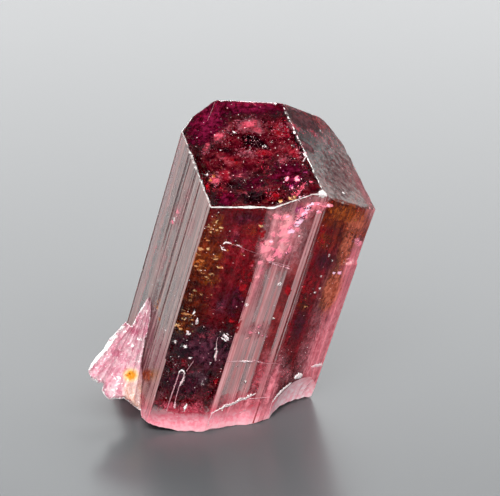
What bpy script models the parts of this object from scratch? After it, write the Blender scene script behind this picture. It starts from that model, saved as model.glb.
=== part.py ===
"""Tourmaline crystal: one doubly grown piece, resting on its broken base.

The main crystal is a trigonal prism whose long (c) axis leans to +X. It is
capped by three rhombohedral faces that meet at an apex. Prism faces run in the
alternation of the 30 degree directions that makes a tourmaline striated: the
first-order and second-order prisms take turns, so each broad face carries
narrow steps along c. A spray of small crystals grew out of one prism face, low
on the -X side, and is one body with the main crystal.

Units are metres (lengths below are millimetres times MM), +Z is up, and the
origin is the middle of the footprint of the bounding box, on the rest plane.
"""

import math

import bmesh
import bpy
from mathutils import Matrix, Vector

MM = 0.001

# --- Driving dimensions -----------------------------------------------------
# The c axis: how far it leans off the vertical, and towards which bearing.
LEAN_DEG = 15.6
LEAN_BEARING_DEG = -9.3

# Bearing of the largest rhombohedral face, in the crystal's own frame. All
# other faces are given relative to it, as the crystal's symmetry has them.
R_BEARING_DEG = -125.9

# Prism faces in turn: bearing relative to the largest rhombohedral face, and
# distance from the c axis (mm). Ideal bearings are the multiples of 30.
PRISM_FACES = (
    ("left_front", -31.1, 6.19),
    ("front", 33.6, 6.07),
    ("right_front", 56.1, 5.64),
    ("right_upper", 76.9, 6.00),
    ("right", 82.7, 6.23),
    ("right_back", 150.7, 6.25),
    ("back_right", 180.7, 6.48),
    ("back", 211.4, 5.88),
    ("left_back", 263.9, 6.05),
    ("left", 283.4, 6.66),
)

# Termination: bearing relative to the first face, slope off the basal plane,
# and height (mm) at which the face crosses the c axis above the base.
CAP_FACES = (
    (0.0, 27.3, 21.46),
    (120.0, 27.3, 22.06),
    (229.8, 39.3, 24.91),
)

# Steps along c. Each sits on one prism face, from the corner where that face
# begins: position and width as parts of the face's width, and how far the
# step stands in (-) or out (+), in mm.
STEPS = (
    ("left_front", 0.22, 0.05, -0.07),
    ("left_front", 0.58, 0.08, -0.06),
    ("left_front", 0.84, 0.05, -0.07),
    ("front", 0.70, 0.10, 0.05),
    ("right_front", 0.60, 0.13, -0.16),
    ("right_front", 0.84, 0.05, -0.08),
    ("right", 0.55, 0.16, -0.07),
    ("right_back", 0.18, 0.05, -0.09),
    ("right_back", 0.46, 0.12, 0.08),
    ("right_back", 0.80, 0.06, -0.08),
    ("back", 0.16, 0.10, -0.10),
    ("back", 0.44, 0.06, 0.09),
    ("back", 0.72, 0.12, -0.10),
    ("left_back", 0.30, 0.10, -0.08),
    ("left_back", 0.66, 0.14, 0.07),
)

BLANK_BELOW = 9.0  # prism blank reaches this far under the base centre (mm)
BLANK_ABOVE = 32.0

# Breaks at the base: a flat corner break, given by a point on it and its
# outward normal (mm, world axes at the base centre), and scooped chips, given
# as ellipsoids: centre, radii, and turn about Z.
CORNER_BREAKS = (
    ((-3.95, -5.94, 0.96), (-0.54, -0.40, -0.74)),
    ((8.1, 1.2, 0.30), (0.66, 0.34, -0.67)),
    ((1.0, 6.0, 0.25), (0.06, 0.78, -0.62)),
)
CHIPS = (
    ((9.25, -5.75, -0.67), (5.00, 5.00, 4.80), 12.0),
    ((8.9, -0.2, -0.90), (1.20, 1.80, 1.50), 10.0),
)
CHIP_SUBDIVISIONS = 4

# The spray of small crystals: each is a blade that runs from the root near the
# top of the spray to a broken end. Root, end (mm, world axes at the base
# centre), half width and half thickness at the root and at the end.
SPRAY = (
    ((-3.75, -2.20, 8.20), (-7.55, -4.60, 3.95), 0.30, 0.34, 0.95, 1.05),
    ((-3.75, -2.50, 8.00), (-6.50, -4.85, 2.90), 0.34, 0.42, 1.05, 1.00),
    ((-3.60, -2.70, 7.80), (-5.00, -4.72, 1.85), 0.36, 0.45, 0.95, 0.80),
    ((-4.20, -1.60, 7.40), (-6.90, -3.30, 4.90), 0.35, 0.40, 0.75, 0.80),
)
SPRAY_SIDES = 7

COLOUR = (0.36, 0.020, 0.065, 1.0)
ROUGHNESS = 0.04


def clear_scene():
    for obj in list(bpy.data.objects):
        bpy.data.objects.remove(obj, do_unlink=True)


def crystal_frame():
    """Rotation that takes the vertical to the leaning c axis."""
    bearing = math.radians(LEAN_BEARING_DEG)
    axis = Vector((-math.sin(bearing), math.cos(bearing), 0.0))
    return Matrix.Rotation(math.radians(LEAN_DEG), 4, axis)


def bearing_vector(relative_deg):
    a = math.radians(R_BEARING_DEG + relative_deg)
    return Vector((math.cos(a), math.sin(a), 0.0))


def corner(first, second):
    """Where two prism faces meet, in the plane across c (mm)."""
    a, b = bearing_vector(first[1]), bearing_vector(second[1])
    det = a.x * b.y - a.y * b.x
    x = (first[2] * b.y - second[2] * a.y) / det
    y = (a.x * second[2] - b.x * first[2]) / det
    return Vector((x, y, 0.0))


def outline():
    """The stepped section across c, anticlockwise from above (mm)."""
    points = []
    count = len(PRISM_FACES)
    for i, face in enumerate(PRISM_FACES):
        start = corner(PRISM_FACES[i - 1], face)
        end = corner(face, PRISM_FACES[(i + 1) % count])
        normal = bearing_vector(face[1])
        along = end - start
        points.append(start)
        steps = [s for s in STEPS if s[0] == face[0]]
        for _, where, width, depth in sorted(steps, key=lambda s: s[1]):
            ramp = min(0.35 * width, 0.04)
            a, b = where, where + width
            points.append(start + along * a)
            points.append(start + along * (a + ramp) + normal * depth)
            points.append(start + along * (b - ramp) + normal * depth * 0.85)
            points.append(start + along * b)
    return points


def cut(bm, point, normal):
    """Removes what lies on the normal's side of a plane and closes the cut."""
    geom = bm.verts[:] + bm.edges[:] + bm.faces[:]
    found = bmesh.ops.bisect_plane(
        bm,
        geom=geom,
        dist=1e-9,
        plane_co=point,
        plane_no=normal,
        clear_outer=True,
        clear_inner=False,
    )
    edges = [e for e in found["geom_cut"] if isinstance(e, bmesh.types.BMEdge)]
    if edges:
        bmesh.ops.contextual_create(bm, geom=edges)


def to_object(bm, name):
    bmesh.ops.recalc_face_normals(bm, faces=bm.faces[:])
    mesh = bpy.data.meshes.new(name)
    bm.to_mesh(mesh)
    bm.free()
    obj = bpy.data.objects.new(name, mesh)
    bpy.context.scene.collection.objects.link(obj)
    return obj


def main_crystal(frame):
    bm = bmesh.new()
    ring = [bm.verts.new((p.x * MM, p.y * MM, -BLANK_BELOW * MM)) for p in outline()]
    base = bm.faces.new(list(reversed(ring)))
    top = bmesh.ops.extrude_face_region(bm, geom=[base])["geom"]
    lift = Vector((0.0, 0.0, (BLANK_BELOW + BLANK_ABOVE) * MM))
    bmesh.ops.translate(
        bm, verts=[v for v in top if isinstance(v, bmesh.types.BMVert)], vec=lift
    )
    bmesh.ops.recalc_face_normals(bm, faces=bm.faces[:])
    for bearing, slope, height in CAP_FACES:
        s = math.radians(slope)
        normal = bearing_vector(bearing) * math.sin(s) + Vector((0, 0, math.cos(s)))
        cut(bm, Vector((0, 0, height * MM)), normal)
    bmesh.ops.transform(bm, matrix=frame, verts=bm.verts[:])
    cut(bm, Vector((0, 0, 0)), Vector((0, 0, -1)))
    for point, normal in CORNER_BREAKS:
        cut(bm, Vector(point) * MM, Vector(normal).normalized())
    return to_object(bm, "tourmaline_crystal")


def spray_blade(index, blade):
    """One small crystal of the spray: a closed convex blade."""
    root, end, w0, t0, w1, t1 = blade
    root, end = Vector(root), Vector(end)
    axis = (end - root).normalized()
    thick = Vector((0.42, -0.88, -0.22))
    thick = (thick - axis * thick.dot(axis)).normalized()
    wide = axis.cross(thick)
    bm = bmesh.new()
    for part, width, depth in (
        (-0.06, 0.35 * w0, 0.35 * t0),
        (0.12, w0, t0),
        (0.78, w1, t1),
        (1.0, 0.78 * w1, 0.80 * t1),
    ):
        middle = root.lerp(end, part)
        for k in range(SPRAY_SIDES):
            a = 2 * math.pi * (k + 0.31 * index) / SPRAY_SIDES
            p = middle + wide * (width * math.cos(a)) + thick * (depth * math.sin(a))
            bm.verts.new(p * MM)
    bmesh.ops.convex_hull(bm, input=bm.verts[:])
    loose = [v for v in bm.verts if not v.link_faces]
    bmesh.ops.delete(bm, geom=loose, context="VERTS")
    return to_object(bm, "spray_%d" % index)


def chip_cutter(index, chip):
    """A flattened ball that takes a scooped chip off the base edge."""
    centre, radii, turn = chip
    bm = bmesh.new()
    bmesh.ops.create_icosphere(bm, subdivisions=CHIP_SUBDIVISIONS, radius=1.0)
    size = Matrix.Diagonal((radii[0] * MM, radii[1] * MM, radii[2] * MM, 1.0))
    spin = Matrix.Rotation(math.radians(turn), 4, "Z")
    place = Matrix.Translation(Vector(centre) * MM)
    bmesh.ops.transform(bm, matrix=place @ spin @ size, verts=bm.verts[:])
    return to_object(bm, "chip_%d" % index)


def boolean(obj, other, operation):
    modifier = obj.modifiers.new(operation.lower(), "BOOLEAN")
    modifier.operation = operation
    modifier.solver = "EXACT"
    modifier.object = other
    other.hide_render = True
    other.display_type = "WIRE"


def bake(obj):
    """Applies the Booleans, so that the piece is one plain mesh."""
    bpy.context.view_layer.update()
    graph = bpy.context.evaluated_depsgraph_get()
    mesh = bpy.data.meshes.new_from_object(obj.evaluated_get(graph))
    obj.modifiers.clear()
    old = obj.data
    obj.data = mesh
    mesh.name = obj.name
    bpy.data.meshes.remove(old)


def finish(obj):
    """Merges coincident points and puts the origin under the bounding box."""
    bm = bmesh.new()
    bm.from_mesh(obj.data)
    bmesh.ops.remove_doubles(bm, verts=bm.verts[:], dist=2e-6)
    bmesh.ops.dissolve_degenerate(bm, dist=2e-6, edges=bm.edges[:])
    bmesh.ops.triangulate(bm, faces=[f for f in bm.faces if len(f.verts) > 4])
    bmesh.ops.recalc_face_normals(bm, faces=bm.faces[:])
    low = [min(v.co[i] for v in bm.verts) for i in range(3)]
    high = [max(v.co[i] for v in bm.verts) for i in range(3)]
    shift = Vector((-(low[0] + high[0]) / 2, -(low[1] + high[1]) / 2, -low[2]))
    bmesh.ops.translate(bm, verts=bm.verts[:], vec=shift)
    bm.to_mesh(obj.data)
    bm.free()
    print(
        "shift mm",
        tuple(round(v / MM, 4) for v in shift),
        "size mm",
        tuple(round((b - a) / MM, 3) for a, b in zip(low, high)),
    )


def material():
    made = bpy.data.materials.new("tourmaline_pink_red")
    made.use_nodes = True
    shader = made.node_tree.nodes["Principled BSDF"]
    shader.inputs["Base Color"].default_value = COLOUR
    shader.inputs["Roughness"].default_value = ROUGHNESS
    shader.inputs["Metallic"].default_value = 0.0
    shader.inputs["IOR"].default_value = 1.63
    return made


def build():
    clear_scene()
    frame = crystal_frame()
    crystal = main_crystal(frame)
    cutters = [chip_cutter(i, chip) for i, chip in enumerate(CHIPS)]
    for cutter in cutters:
        boolean(crystal, cutter, "DIFFERENCE")
    blades = [spray_blade(i, blade) for i, blade in enumerate(SPRAY)]
    for blade in blades:
        boolean(crystal, blade, "UNION")
    bake(crystal)
    for helper in cutters + blades:
        bpy.data.objects.remove(helper, do_unlink=True)
    finish(crystal)
    crystal.data.materials.clear()
    crystal.data.materials.append(material())


build()
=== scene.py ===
"""Looks of the tourmaline crystal: a fine clear main crystal with natural striations, colour zones and inclusions, and a
fan of small side crystals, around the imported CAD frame."""

import math

import bmesh
import bpy
import numpy as np
from mathutils import Matrix, Vector
from mathutils.bvhtree import BVHTree
from mathutils.geometry import delaunay_2d_cdt


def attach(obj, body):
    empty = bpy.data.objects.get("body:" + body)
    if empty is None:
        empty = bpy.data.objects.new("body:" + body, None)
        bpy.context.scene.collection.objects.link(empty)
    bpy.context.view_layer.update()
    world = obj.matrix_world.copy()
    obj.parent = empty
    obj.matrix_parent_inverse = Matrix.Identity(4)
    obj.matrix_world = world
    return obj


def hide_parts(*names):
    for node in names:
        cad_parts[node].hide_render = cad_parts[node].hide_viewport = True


MM = 0.001
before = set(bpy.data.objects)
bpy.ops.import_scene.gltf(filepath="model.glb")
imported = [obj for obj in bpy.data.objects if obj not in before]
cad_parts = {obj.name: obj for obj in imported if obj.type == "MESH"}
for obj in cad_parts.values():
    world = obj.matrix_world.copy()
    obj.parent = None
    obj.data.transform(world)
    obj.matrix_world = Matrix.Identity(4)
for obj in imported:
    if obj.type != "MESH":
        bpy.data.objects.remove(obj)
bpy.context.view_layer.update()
RNG = np.random.default_rng(20731)

# --------------------------------------------------------------------------------------------------------------------
# The crystal's own frame: c axis, base centre and faces, as in the CAD part (mm)
# --------------------------------------------------------------------------------------------------------------------
SHIFT = np.array([-1.903, 0.3787, 0.0])  # base centre in the row frame
LEAN, LEAN_BEARING, R_BEARING = 15.6, -9.3, -125.9

PRISM = (
    ("left_front", -31.1, 6.19),
    ("front", 33.6, 6.07),
    ("right_front", 56.1, 5.64),
    ("right_upper", 76.9, 6.00),
    ("right", 82.7, 6.23),
    ("right_back", 150.7, 6.25),
    ("back_right", 180.7, 6.48),
    ("back", 211.4, 5.88),
    ("left_back", 263.9, 6.05),
    ("left", 283.4, 6.66),
)
CAPS = ((0.0, 27.3, 21.46), (120.0, 27.3, 22.06), (229.8, 39.3, 24.91))


def rot(axis, deg):
    return np.array(Matrix.Rotation(math.radians(deg), 3, Vector(axis)))


_b = math.radians(LEAN_BEARING)
T = rot((-math.sin(_b), math.cos(_b), 0.0), LEAN)  # crystal frame -> row frame directions


def to_row(p):
    """Crystal-frame points (mm) to row-frame points (mm)."""
    return np.asarray(p, float) @ T.T + SHIFT


def to_crystal(p):
    return (np.asarray(p, float) - SHIFT) @ T


def bearing(rel):
    a = math.radians(R_BEARING + rel)
    return np.array([math.cos(a), math.sin(a)])


def cap_planes():
    out = []
    for rel, slope, height in CAPS:
        b, s = bearing(rel), math.radians(slope)
        out.append((-math.tan(s) * b[0], -math.tan(s) * b[1], height))
    return np.array(out)


CAP = cap_planes()


def cap_height(x, y, soft=0.0):
    """Height of the three-faced cap over a point of the section, with ridges rounded by soft (mm)."""
    z = CAP[:, 0, None] * x + CAP[:, 1, None] * y + CAP[:, 2, None]
    if soft <= 0:
        return z.min(0)
    low = z.min(0)
    return low - soft * np.log(np.exp(-(z - low) / soft).sum(0))


def base_height(x, y, lift=0.0):
    """Local height of the rest plane under a point of the section."""
    # row z = T[2] . local = lift
    return (lift - T[2, 0] * x - T[2, 1] * y) / T[2, 2]


# The photograph's viewpoint, so that what shows in the frame can be put in its place
EYE = np.array([3.213 + SHIFT[0], -127.925 + SHIFT[1], 74.013])
PITCH = math.radians(26)
FOCAL = 2000.0  # pixels in a frame 500 wide


def rays(px):
    px = np.atleast_2d(px).astype(float)
    x, y = (px[:, 0] - 250) / FOCAL, (px[:, 1] - 248) / FOCAL
    ray = np.column_stack([x, math.cos(PITCH) - y * math.sin(PITCH), -math.sin(PITCH) - y * math.cos(PITCH)])
    return ray / np.linalg.norm(ray, axis=1)[:, None]


# --------------------------------------------------------------------------------------------------------------------
# Mesh helpers
# --------------------------------------------------------------------------------------------------------------------
def new_object(name, verts_mm, faces, smooth_deg=None):
    mesh = bpy.data.meshes.new(name)
    mesh.from_pydata((np.asarray(verts_mm) * MM).tolist(), [], [list(map(int, f)) for f in faces])
    mesh.update()
    obj = bpy.data.objects.new(name, mesh)
    bpy.context.scene.collection.objects.link(obj)
    if smooth_deg is not None:
        mesh.shade_smooth()
        mesh.set_sharp_from_angle(angle=math.radians(smooth_deg))
    return obj


def apply_modifiers(obj):
    bpy.context.view_layer.update()
    graph = bpy.context.evaluated_depsgraph_get()
    mesh = bpy.data.meshes.new_from_object(obj.evaluated_get(graph))
    obj.modifiers.clear()
    old = obj.data
    obj.data = mesh
    mesh.name = obj.name
    bpy.data.meshes.remove(old)


def smooth_noise(t, seed, scale=1.0):
    """Smooth 1-D value noise in -1..1."""
    rng = np.random.default_rng(seed)
    table = rng.uniform(-1, 1, 512)
    x = np.asarray(t, float) * scale + 97.3
    i = np.floor(x).astype(int)
    f = x - i
    f = f * f * (3 - 2 * f)
    return table[i % 512] * (1 - f) + table[(i + 1) % 512] * f


# --------------------------------------------------------------------------------------------------------------------
# Section across c, with the terraces of each face
# --------------------------------------------------------------------------------------------------------------------
def corners():
    pts = []
    for i, f in enumerate(PRISM):
        a, b = bearing(PRISM[i - 1][1]), bearing(f[1])
        d1, d2 = PRISM[i - 1][2], f[2]
        det = a[0] * b[1] - a[1] * b[0]
        pts.append(np.array([(d1 * b[1] - d2 * a[1]) / det, (a[0] * d2 - b[0] * d1) / det]))
    return pts


# For each face: number of terraces, terrace relief (mm), tilt of terraces (degrees), and set pieces (from, to, slope)
FACE_STYLE = {
    "left_front": (30, 0.022, 3.0, ()),
    "front": (9, 0.006, 0.5, ((0.86, 0.885, 0.45),)),
    "right_front": (22, 0.012, 2.2, ((0.60, 0.735, 0.36), (0.845, 0.865, 0.35))),
    "right_upper": (9, 0.012, 1.6, ()),
    "right": (10, 0.016, 2.2, ()),
    "right_back": (22, 0.030, 3.0, ()),
    "back_right": (7, 0.030, 3.0, ()),
    "back": (26, 0.030, 3.0, ()),
    "left_back": (22, 0.030, 3.0, ()),
    "left": (6, 0.020, 2.5, ()),
}
LEVELS = 26
TALL = 112  # rows of the mesh
FINE = {"front": 0.17, "right_front": 0.15, "right_upper": 0.16, "right": 0.18, "left_front": 0.30}
NAME_ORDER = [f[0] for f in PRISM]


def face_terraces(name, width, rng):
    """Breakpoints t in 0..1 along a face and the outward offset at each, as (t, base offset, strip index)."""
    count, relief, tilt, pieces = FACE_STYLE[name]
    cuts = [0.0]
    sizes = rng.gamma(1.1, 1.0, count) + 0.12
    cuts = np.concatenate([[0.0], np.cumsum(sizes) / sizes.sum()])
    spans = []
    for a, b in zip(cuts[:-1], cuts[1:]):
        spans.append([a, b, rng.normal(0, math.tan(math.radians(tilt))), rng.normal(0, relief)])
    # set pieces replace what they cover
    for a, b, slope in pieces:
        kept = []
        for s in spans:
            if s[1] <= a or s[0] >= b:
                kept.append(s)
                continue
            if s[0] < a - 0.004:
                kept.append([s[0], a, s[2], s[3]])
            if s[1] > b + 0.004:
                kept.append([b, s[1], s[2], s[3]])
        kept.append([a, b, slope, None])
        spans = sorted(kept, key=lambda s: s[0])
    # lay the profile: a set piece lifts the offset by its slope, and the rest of the face falls back evenly
    rise = sum((s[1] - s[0]) * width * s[2] for s in spans if s[3] is None)
    free = sum(s[1] - s[0] for s in spans if s[3] is not None)
    fall = -rise / (free * width) if free else 0.0
    out, h = [], 0.0
    for k, (a, b, slope, step) in enumerate(spans):
        w = (b - a) * width
        if step is None:
            out.append((a, h, k, 0.0))
            h += w * slope
            out.append((b, h, k, 0.0))
        else:
            mid = h + 0.5 * w * fall
            ramp = min(0.12 * (b - a), 0.006 / width * 2)
            out.append((a + ramp, mid - 0.5 * w * fall, k, step - 0.5 * w * slope))
            h += w * fall
            out.append((b - ramp, h, k, step + 0.5 * w * slope))
    return out


# How white each cap rim is painted: chipped wear and a painted highlight, strong on the front rims and faint at the
# back
RIM_WEAR_AND_HIGHLIGHT = {
    "left_front": 0.52, "front": 1.0, "right_front": 1.0, "right_upper": 0.22, "right": 0.22,
    "right_back": 0.12, "back_right": 0.1, "back": 0.1, "left_back": 0.12, "left": 0.4,
}


def section_rings(levels):
    """(levels, n, 2) section points, and for each point the face it lies on."""
    rng = np.random.default_rng(4117)
    cs = corners()
    n = len(PRISM)
    cols, face_of, lane = [], [], []
    for i, f in enumerate(PRISM):
        p, q = cs[i], cs[(i + 1) % n]
        width = np.linalg.norm(q - p)
        normal = bearing(f[1])
        nick = 0.05 / width  # the small flat on each long edge
        steps = face_terraces(f[0], width, rng)
        # even columns across the wide terraces, so that what the face carries can be drawn finely
        dense = []
        for a, b in zip(steps[::2], steps[1::2]):
            parts = max(1, int(math.ceil((b[0] - a[0]) * width / FINE.get(f[0], 9.0))))
            for s in range(parts + 1):
                u = s / parts
                dense.append((a[0] + (b[0] - a[0]) * u, a[1] + (b[1] - a[1]) * u, a[2], a[3] + (b[3] - a[3]) * u, 0.5 * (a[0] + b[0])))
        for t, h, k, extra, mid in dense:
            lane.append(nick + mid * (1 - 2 * nick))
            tt = nick + t * (1 - 2 * nick)
            edge = min(tt, 1 - tt) * width
            fade = min(1.0, edge / 0.12)
            seed = 1000 * i + k
            amp = 0.75 + 0.45 * smooth_noise(levels * 3.2, seed)
            col = (p + (q - p) * tt)[None, :] + normal[None, :] * ((h + extra * amp) * fade)[:, None]
            cols.append(col)
            face_of.append(i)
    ring = np.stack(cols, axis=1)
    return ring, np.array(face_of), np.array(lane)


CORNERS_AT = corners()


def build_main():
    levels = np.concatenate([np.linspace(0, 0.14, 6)[:-1], np.linspace(0.14, 1, TALL)])
    ring, face_of, lane = section_rings(levels)
    n = ring.shape[1]
    # the right-hand face steps in above a healed break
    edge_at = CORNERS_AT[(NAME_ORDER.index("right") + 1) % len(PRISM)]
    away = np.array(bearing(PRISM[NAME_ORDER.index("right")][1]))
    for c in range(n):
        if face_of[c] == NAME_ORDER.index("right"):
            share = 1.0
        elif face_of[c] == NAME_ORDER.index("right_back"):
            share = max(0.0, 1 - np.linalg.norm(ring[0, c] - edge_at) / 1.6)
        else:
            continue
        at = 0.722 + 0.010 * float(smooth_noise(c * 0.25, 44))
        back = 0.12 * np.clip((levels - at) / 0.012, 0, 1) * np.clip(1.6 - (levels - at) * 4, 0.35, 1)
        ring[:, c] -= away[None] * back[:, None] * share
    top_xy, low_xy = ring[-1], ring[0]
    around = np.arange(n)
    run = np.concatenate([[0], np.cumsum(np.linalg.norm(np.diff(top_xy, axis=0), axis=1))])
    bev = 0.072 + 0.035 * smooth_noise(run * 1.1, 5) + 0.025 * smooth_noise(run * 4.0, 6)
    bev = np.clip(bev, 0.03, 0.15)
    top_z = cap_height(top_xy[:, 0], top_xy[:, 1])
    low_z = base_height(low_xy[:, 0], low_xy[:, 1], 0.0)
    around_base = np.concatenate([[0], np.cumsum(np.linalg.norm(np.diff(low_xy, axis=0), axis=1))])
    foot = np.clip(0.10 + 0.10 * smooth_noise(around_base * 0.8, 8) + 0.07 * smooth_noise(around_base * 3.0, 9), 0.03, 0.40)
    verts = []
    for j, t in enumerate(levels):
        xy = ring[j]
        hi = top_z - bev
        lo = low_z + foot
        z = lo + (hi - lo) * t
        verts.append(np.column_stack([xy, z]))
    # rim flat round the cap
    r = np.linalg.norm(top_xy, axis=1)
    inset = top_xy * (1 - bev / r)[:, None]
    verts.append(np.column_stack([inset, cap_height(inset[:, 0], inset[:, 1])]))
    # foot: broken edge of the base
    r = np.linalg.norm(low_xy, axis=1)
    infoot = low_xy * (1 - 0.9 * foot / r)[:, None]
    foot_ring = np.column_stack([infoot, base_height(infoot[:, 0], infoot[:, 1], 0.0)])
    side = np.concatenate(verts)
    faces = []
    rows = len(verts)
    for j in range(rows - 1):
        a, b = j * n, (j + 1) * n
        for i in range(n):
            k = (i + 1) % n
            faces.append((a + i, a + k, b + k, b + i))
    total = len(side)
    pts = [side, foot_ring]
    for i in range(n):
        k = (i + 1) % n
        faces.append((total + i, total + k, k, i))
    # cap surface
    cap_v, cap_f = fill_cap(inset)
    offset_top = (rows - 1) * n
    extra = cap_v[n:]
    start = total + n
    remap = np.concatenate([offset_top + around, start + np.arange(len(extra))])
    pts.append(extra)
    faces += [tuple(remap[list(f)]) for f in cap_f]
    # base surface
    base_v, base_f = fill_base(infoot)
    start2 = start + len(extra)
    remap = np.concatenate([total + around, start2 + np.arange(len(base_v) - n)])
    pts.append(base_v[n:])
    faces += [tuple(remap[list(f)][::-1]) for f in base_f]
    allv = np.concatenate(pts)
    obj = new_object("tourmaline_main", to_row(allv), faces)
    grown = np.ones(len(faces), np.float32)
    grown[len(faces) - len(base_f):] = 0  # the base is a break
    grown[(rows - 1) * n:rows * n] = 0
    layer = obj.data.attributes.new("grown", "FLOAT", "FACE")
    layer.data.foreach_set("value", grown)
    # how worn and white the rim of the cap is above each face: chipped wear with a painted highlight, whitest on the
    # rims that face the camera
    z = CAP[:, 0, None] * top_xy[:, 0] + CAP[:, 1, None] * top_xy[:, 1] + CAP[:, 2, None]
    lowest = z.argmin(0)
    wear_and_highlight = np.array([RIM_WEAR_AND_HIGHLIGHT[NAME_ORDER[i]] for i in face_of])
    wear_and_highlight = np.where((lowest == 0) | (wear_and_highlight < 0.3), wear_and_highlight, 0.22)
    rim = np.zeros(len(faces), np.float32)
    rim[(rows - 2) * n:(rows - 1) * n] = wear_and_highlight
    layer = obj.data.attributes.new("rim", "FLOAT", "FACE")
    layer.data.foreach_set("value", rim)
    # which terrace a side face belongs to, as the place of its middle across the prism face
    after = np.roll(lane, -1)
    same = (after == lane) & (np.roll(face_of, -1) == face_of)
    strip = np.full(len(faces), -1.0, np.float32)
    strip[:(rows - 1) * n] = np.tile(np.where(same, lane, -1.0), rows - 1)
    layer = obj.data.attributes.new("lane", "FLOAT", "FACE")
    layer.data.foreach_set("value", strip)
    return obj


def inside_polygon(pts, poly, margin):
    """Points inside a star-shaped polygon about the origin, at least margin from its edge."""
    ang = np.arctan2(poly[:, 1], poly[:, 0])
    order = np.argsort(ang)
    rr = np.linalg.norm(poly, axis=1)[order]
    aa = ang[order]
    a = np.arctan2(pts[:, 1], pts[:, 0])
    lim = np.interp(a, np.concatenate([aa - 2 * np.pi, aa, aa + 2 * np.pi]), np.tile(rr, 3))
    return np.linalg.norm(pts, axis=1) < lim - margin


def triangulate(boundary, inner, edges):
    n = len(boundary)
    coords = [Vector(p) for p in np.concatenate([boundary, inner])]
    loops = [(i, (i + 1) % n) for i in range(n)] + [(a + n, b + n) for a, b in edges]
    v, _, f, orig, _, _ = delaunay_2d_cdt(coords, loops, [list(range(n))], 1, 1e-7)
    xy = np.array([[p.x, p.y] for p in v])
    # put the points back in the order they were given
    index = np.full(len(v), -1)
    for i, o in enumerate(orig):
        if o:
            index[i] = min(o)
    given = {int(o): i for i, o in enumerate(index) if o >= 0}
    order = [given[i] for i in range(n + len(inner)) if i in given] + [i for i in range(len(v)) if index[i] < 0]
    back = {old: new for new, old in enumerate(order)}
    tris = [tuple(back[i] for i in t) for t in f]
    return xy[order], tris


def fill_cap(boundary):
    rng = np.random.default_rng(77)
    apex = ridge_apex()
    inner, edges = [], []
    # ridge lines with a narrow flat each
    for a, b in ((0, 1), (1, 2), (2, 0)):
        d = ridge_direction(a, b)
        side = np.array([-d[1], d[0]])
        steps = np.arange(0.25, 12.0, 0.16)
        for off in (-1, 0, 1):
            prev = None
            for s in steps:
                w = 0.055 + 0.03 * float(smooth_noise(s * 2.3, 40 + a)) + 0.03 * float(smooth_noise(s * 7.0, 50 + a))
                if (a, b) == (0, 1):
                    w += 0.11 * max(0.0, float(smooth_noise(s * 1.9, 58))) + 0.05 * max(0.0, float(smooth_noise(s * 6.0 + off * 9, 59)))
                p = apex + d * s + side * off * max(w, 0.015)
                if not inside_polygon(p[None, :], boundary, 0.07)[0]:
                    break
                inner.append(p)
                if prev is not None:
                    edges.append((prev, len(inner) - 1))
                prev = len(inner) - 1
    count = len(inner)
    grid = np.stack(np.meshgrid(np.arange(-8, 8.3, 0.20), np.arange(-8, 8.3, 0.20)), -1).reshape(-1, 2)
    grid = grid + rng.uniform(-0.06, 0.06, grid.shape)
    grid = grid[inside_polygon(grid, boundary, 0.11)]
    ridge = np.array(inner)
    near = np.linalg.norm(grid[:, None, :] - ridge[None, :, :], axis=2).min(1)
    grid = grid[near > 0.14]
    inner = np.concatenate([ridge, grid])
    xy, tris = triangulate(boundary, inner, edges)
    z = cap_height(xy[:, 0], xy[:, 1], soft=0.010)
    z[: len(boundary)] = cap_height(boundary[:, 0], boundary[:, 1])
    return np.column_stack([xy, z]), tris


def ridge_apex():
    a = np.array([[CAP[0, 0] - CAP[1, 0], CAP[0, 1] - CAP[1, 1]], [CAP[0, 0] - CAP[2, 0], CAP[0, 1] - CAP[2, 1]]])
    b = np.array([CAP[1, 2] - CAP[0, 2], CAP[2, 2] - CAP[0, 2]])
    return np.linalg.solve(a, b)


def ridge_direction(i, j):
    g = CAP[i, :2] - CAP[j, :2]
    d = np.array([-g[1], g[0]])
    d /= np.linalg.norm(d)
    k = 3 - i - j
    apex = ridge_apex()
    p = apex + d
    z = CAP[:, 0] * p[0] + CAP[:, 1] * p[1] + CAP[:, 2]
    return d if z[k] > z[i] else -d


def fill_base(boundary):
    rng = np.random.default_rng(78)
    grid = np.stack(np.meshgrid(np.arange(-9, 9.3, 0.30), np.arange(-9, 9.3, 0.30)), -1).reshape(-1, 2)
    grid = grid + rng.uniform(-0.10, 0.10, grid.shape)
    grid = grid[inside_polygon(grid, boundary, 0.16)]
    xy, tris = triangulate(boundary, grid, [])
    n = len(boundary)
    lift = np.zeros(len(xy))
    g = xy[n:]
    wave = (
        np.sin(g[:, 0] * 0.9 + 0.5 * np.sin(g[:, 1] * 0.7)) * np.cos(g[:, 1] * 0.8 + 1.0)
        + 0.5 * np.sin(2.1 * g[:, 0] - 1.7 * g[:, 1])
    )
    rough = rng.uniform(0, 1, len(g)) ** 2
    lift[n:] = np.clip(0.16 + 0.12 * wave, 0.0, None) + 0.12 * rough
    z = base_height(xy[:, 0], xy[:, 1], 0.0) + lift
    return np.column_stack([xy, z]), tris


# --------------------------------------------------------------------------------------------------------------------
# Breaks at the base (row frame before the shift, mm)
# --------------------------------------------------------------------------------------------------------------------
def chip_ball(name, centre, radius, stretch, seed, ripple):
    """A rippled ball: takes out a scooped, conchoidal chip."""
    bm = bmesh.new()
    bmesh.ops.create_icosphere(bm, subdivisions=6, radius=1.0)
    rng = np.random.default_rng(seed)
    dirs = rng.normal(size=(7, 3))
    phase = rng.uniform(0, 6.28, 7)
    for v in bm.verts:
        p = np.array(v.co)
        w = sum(math.sin(float(p @ d) * (5 + 3 * k) + ph) / (1.5 + k) for k, (d, ph) in enumerate(zip(dirs, phase)))
        s = 1 + ripple * w
        v.co = Vector(((p * s) * radius * np.array(stretch) + np.array(centre) + SHIFT) * MM)
    mesh = bpy.data.meshes.new(name)
    bm.to_mesh(mesh)
    bm.free()
    obj = bpy.data.objects.new(name, mesh)
    bpy.context.scene.collection.objects.link(obj)
    return obj


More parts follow.
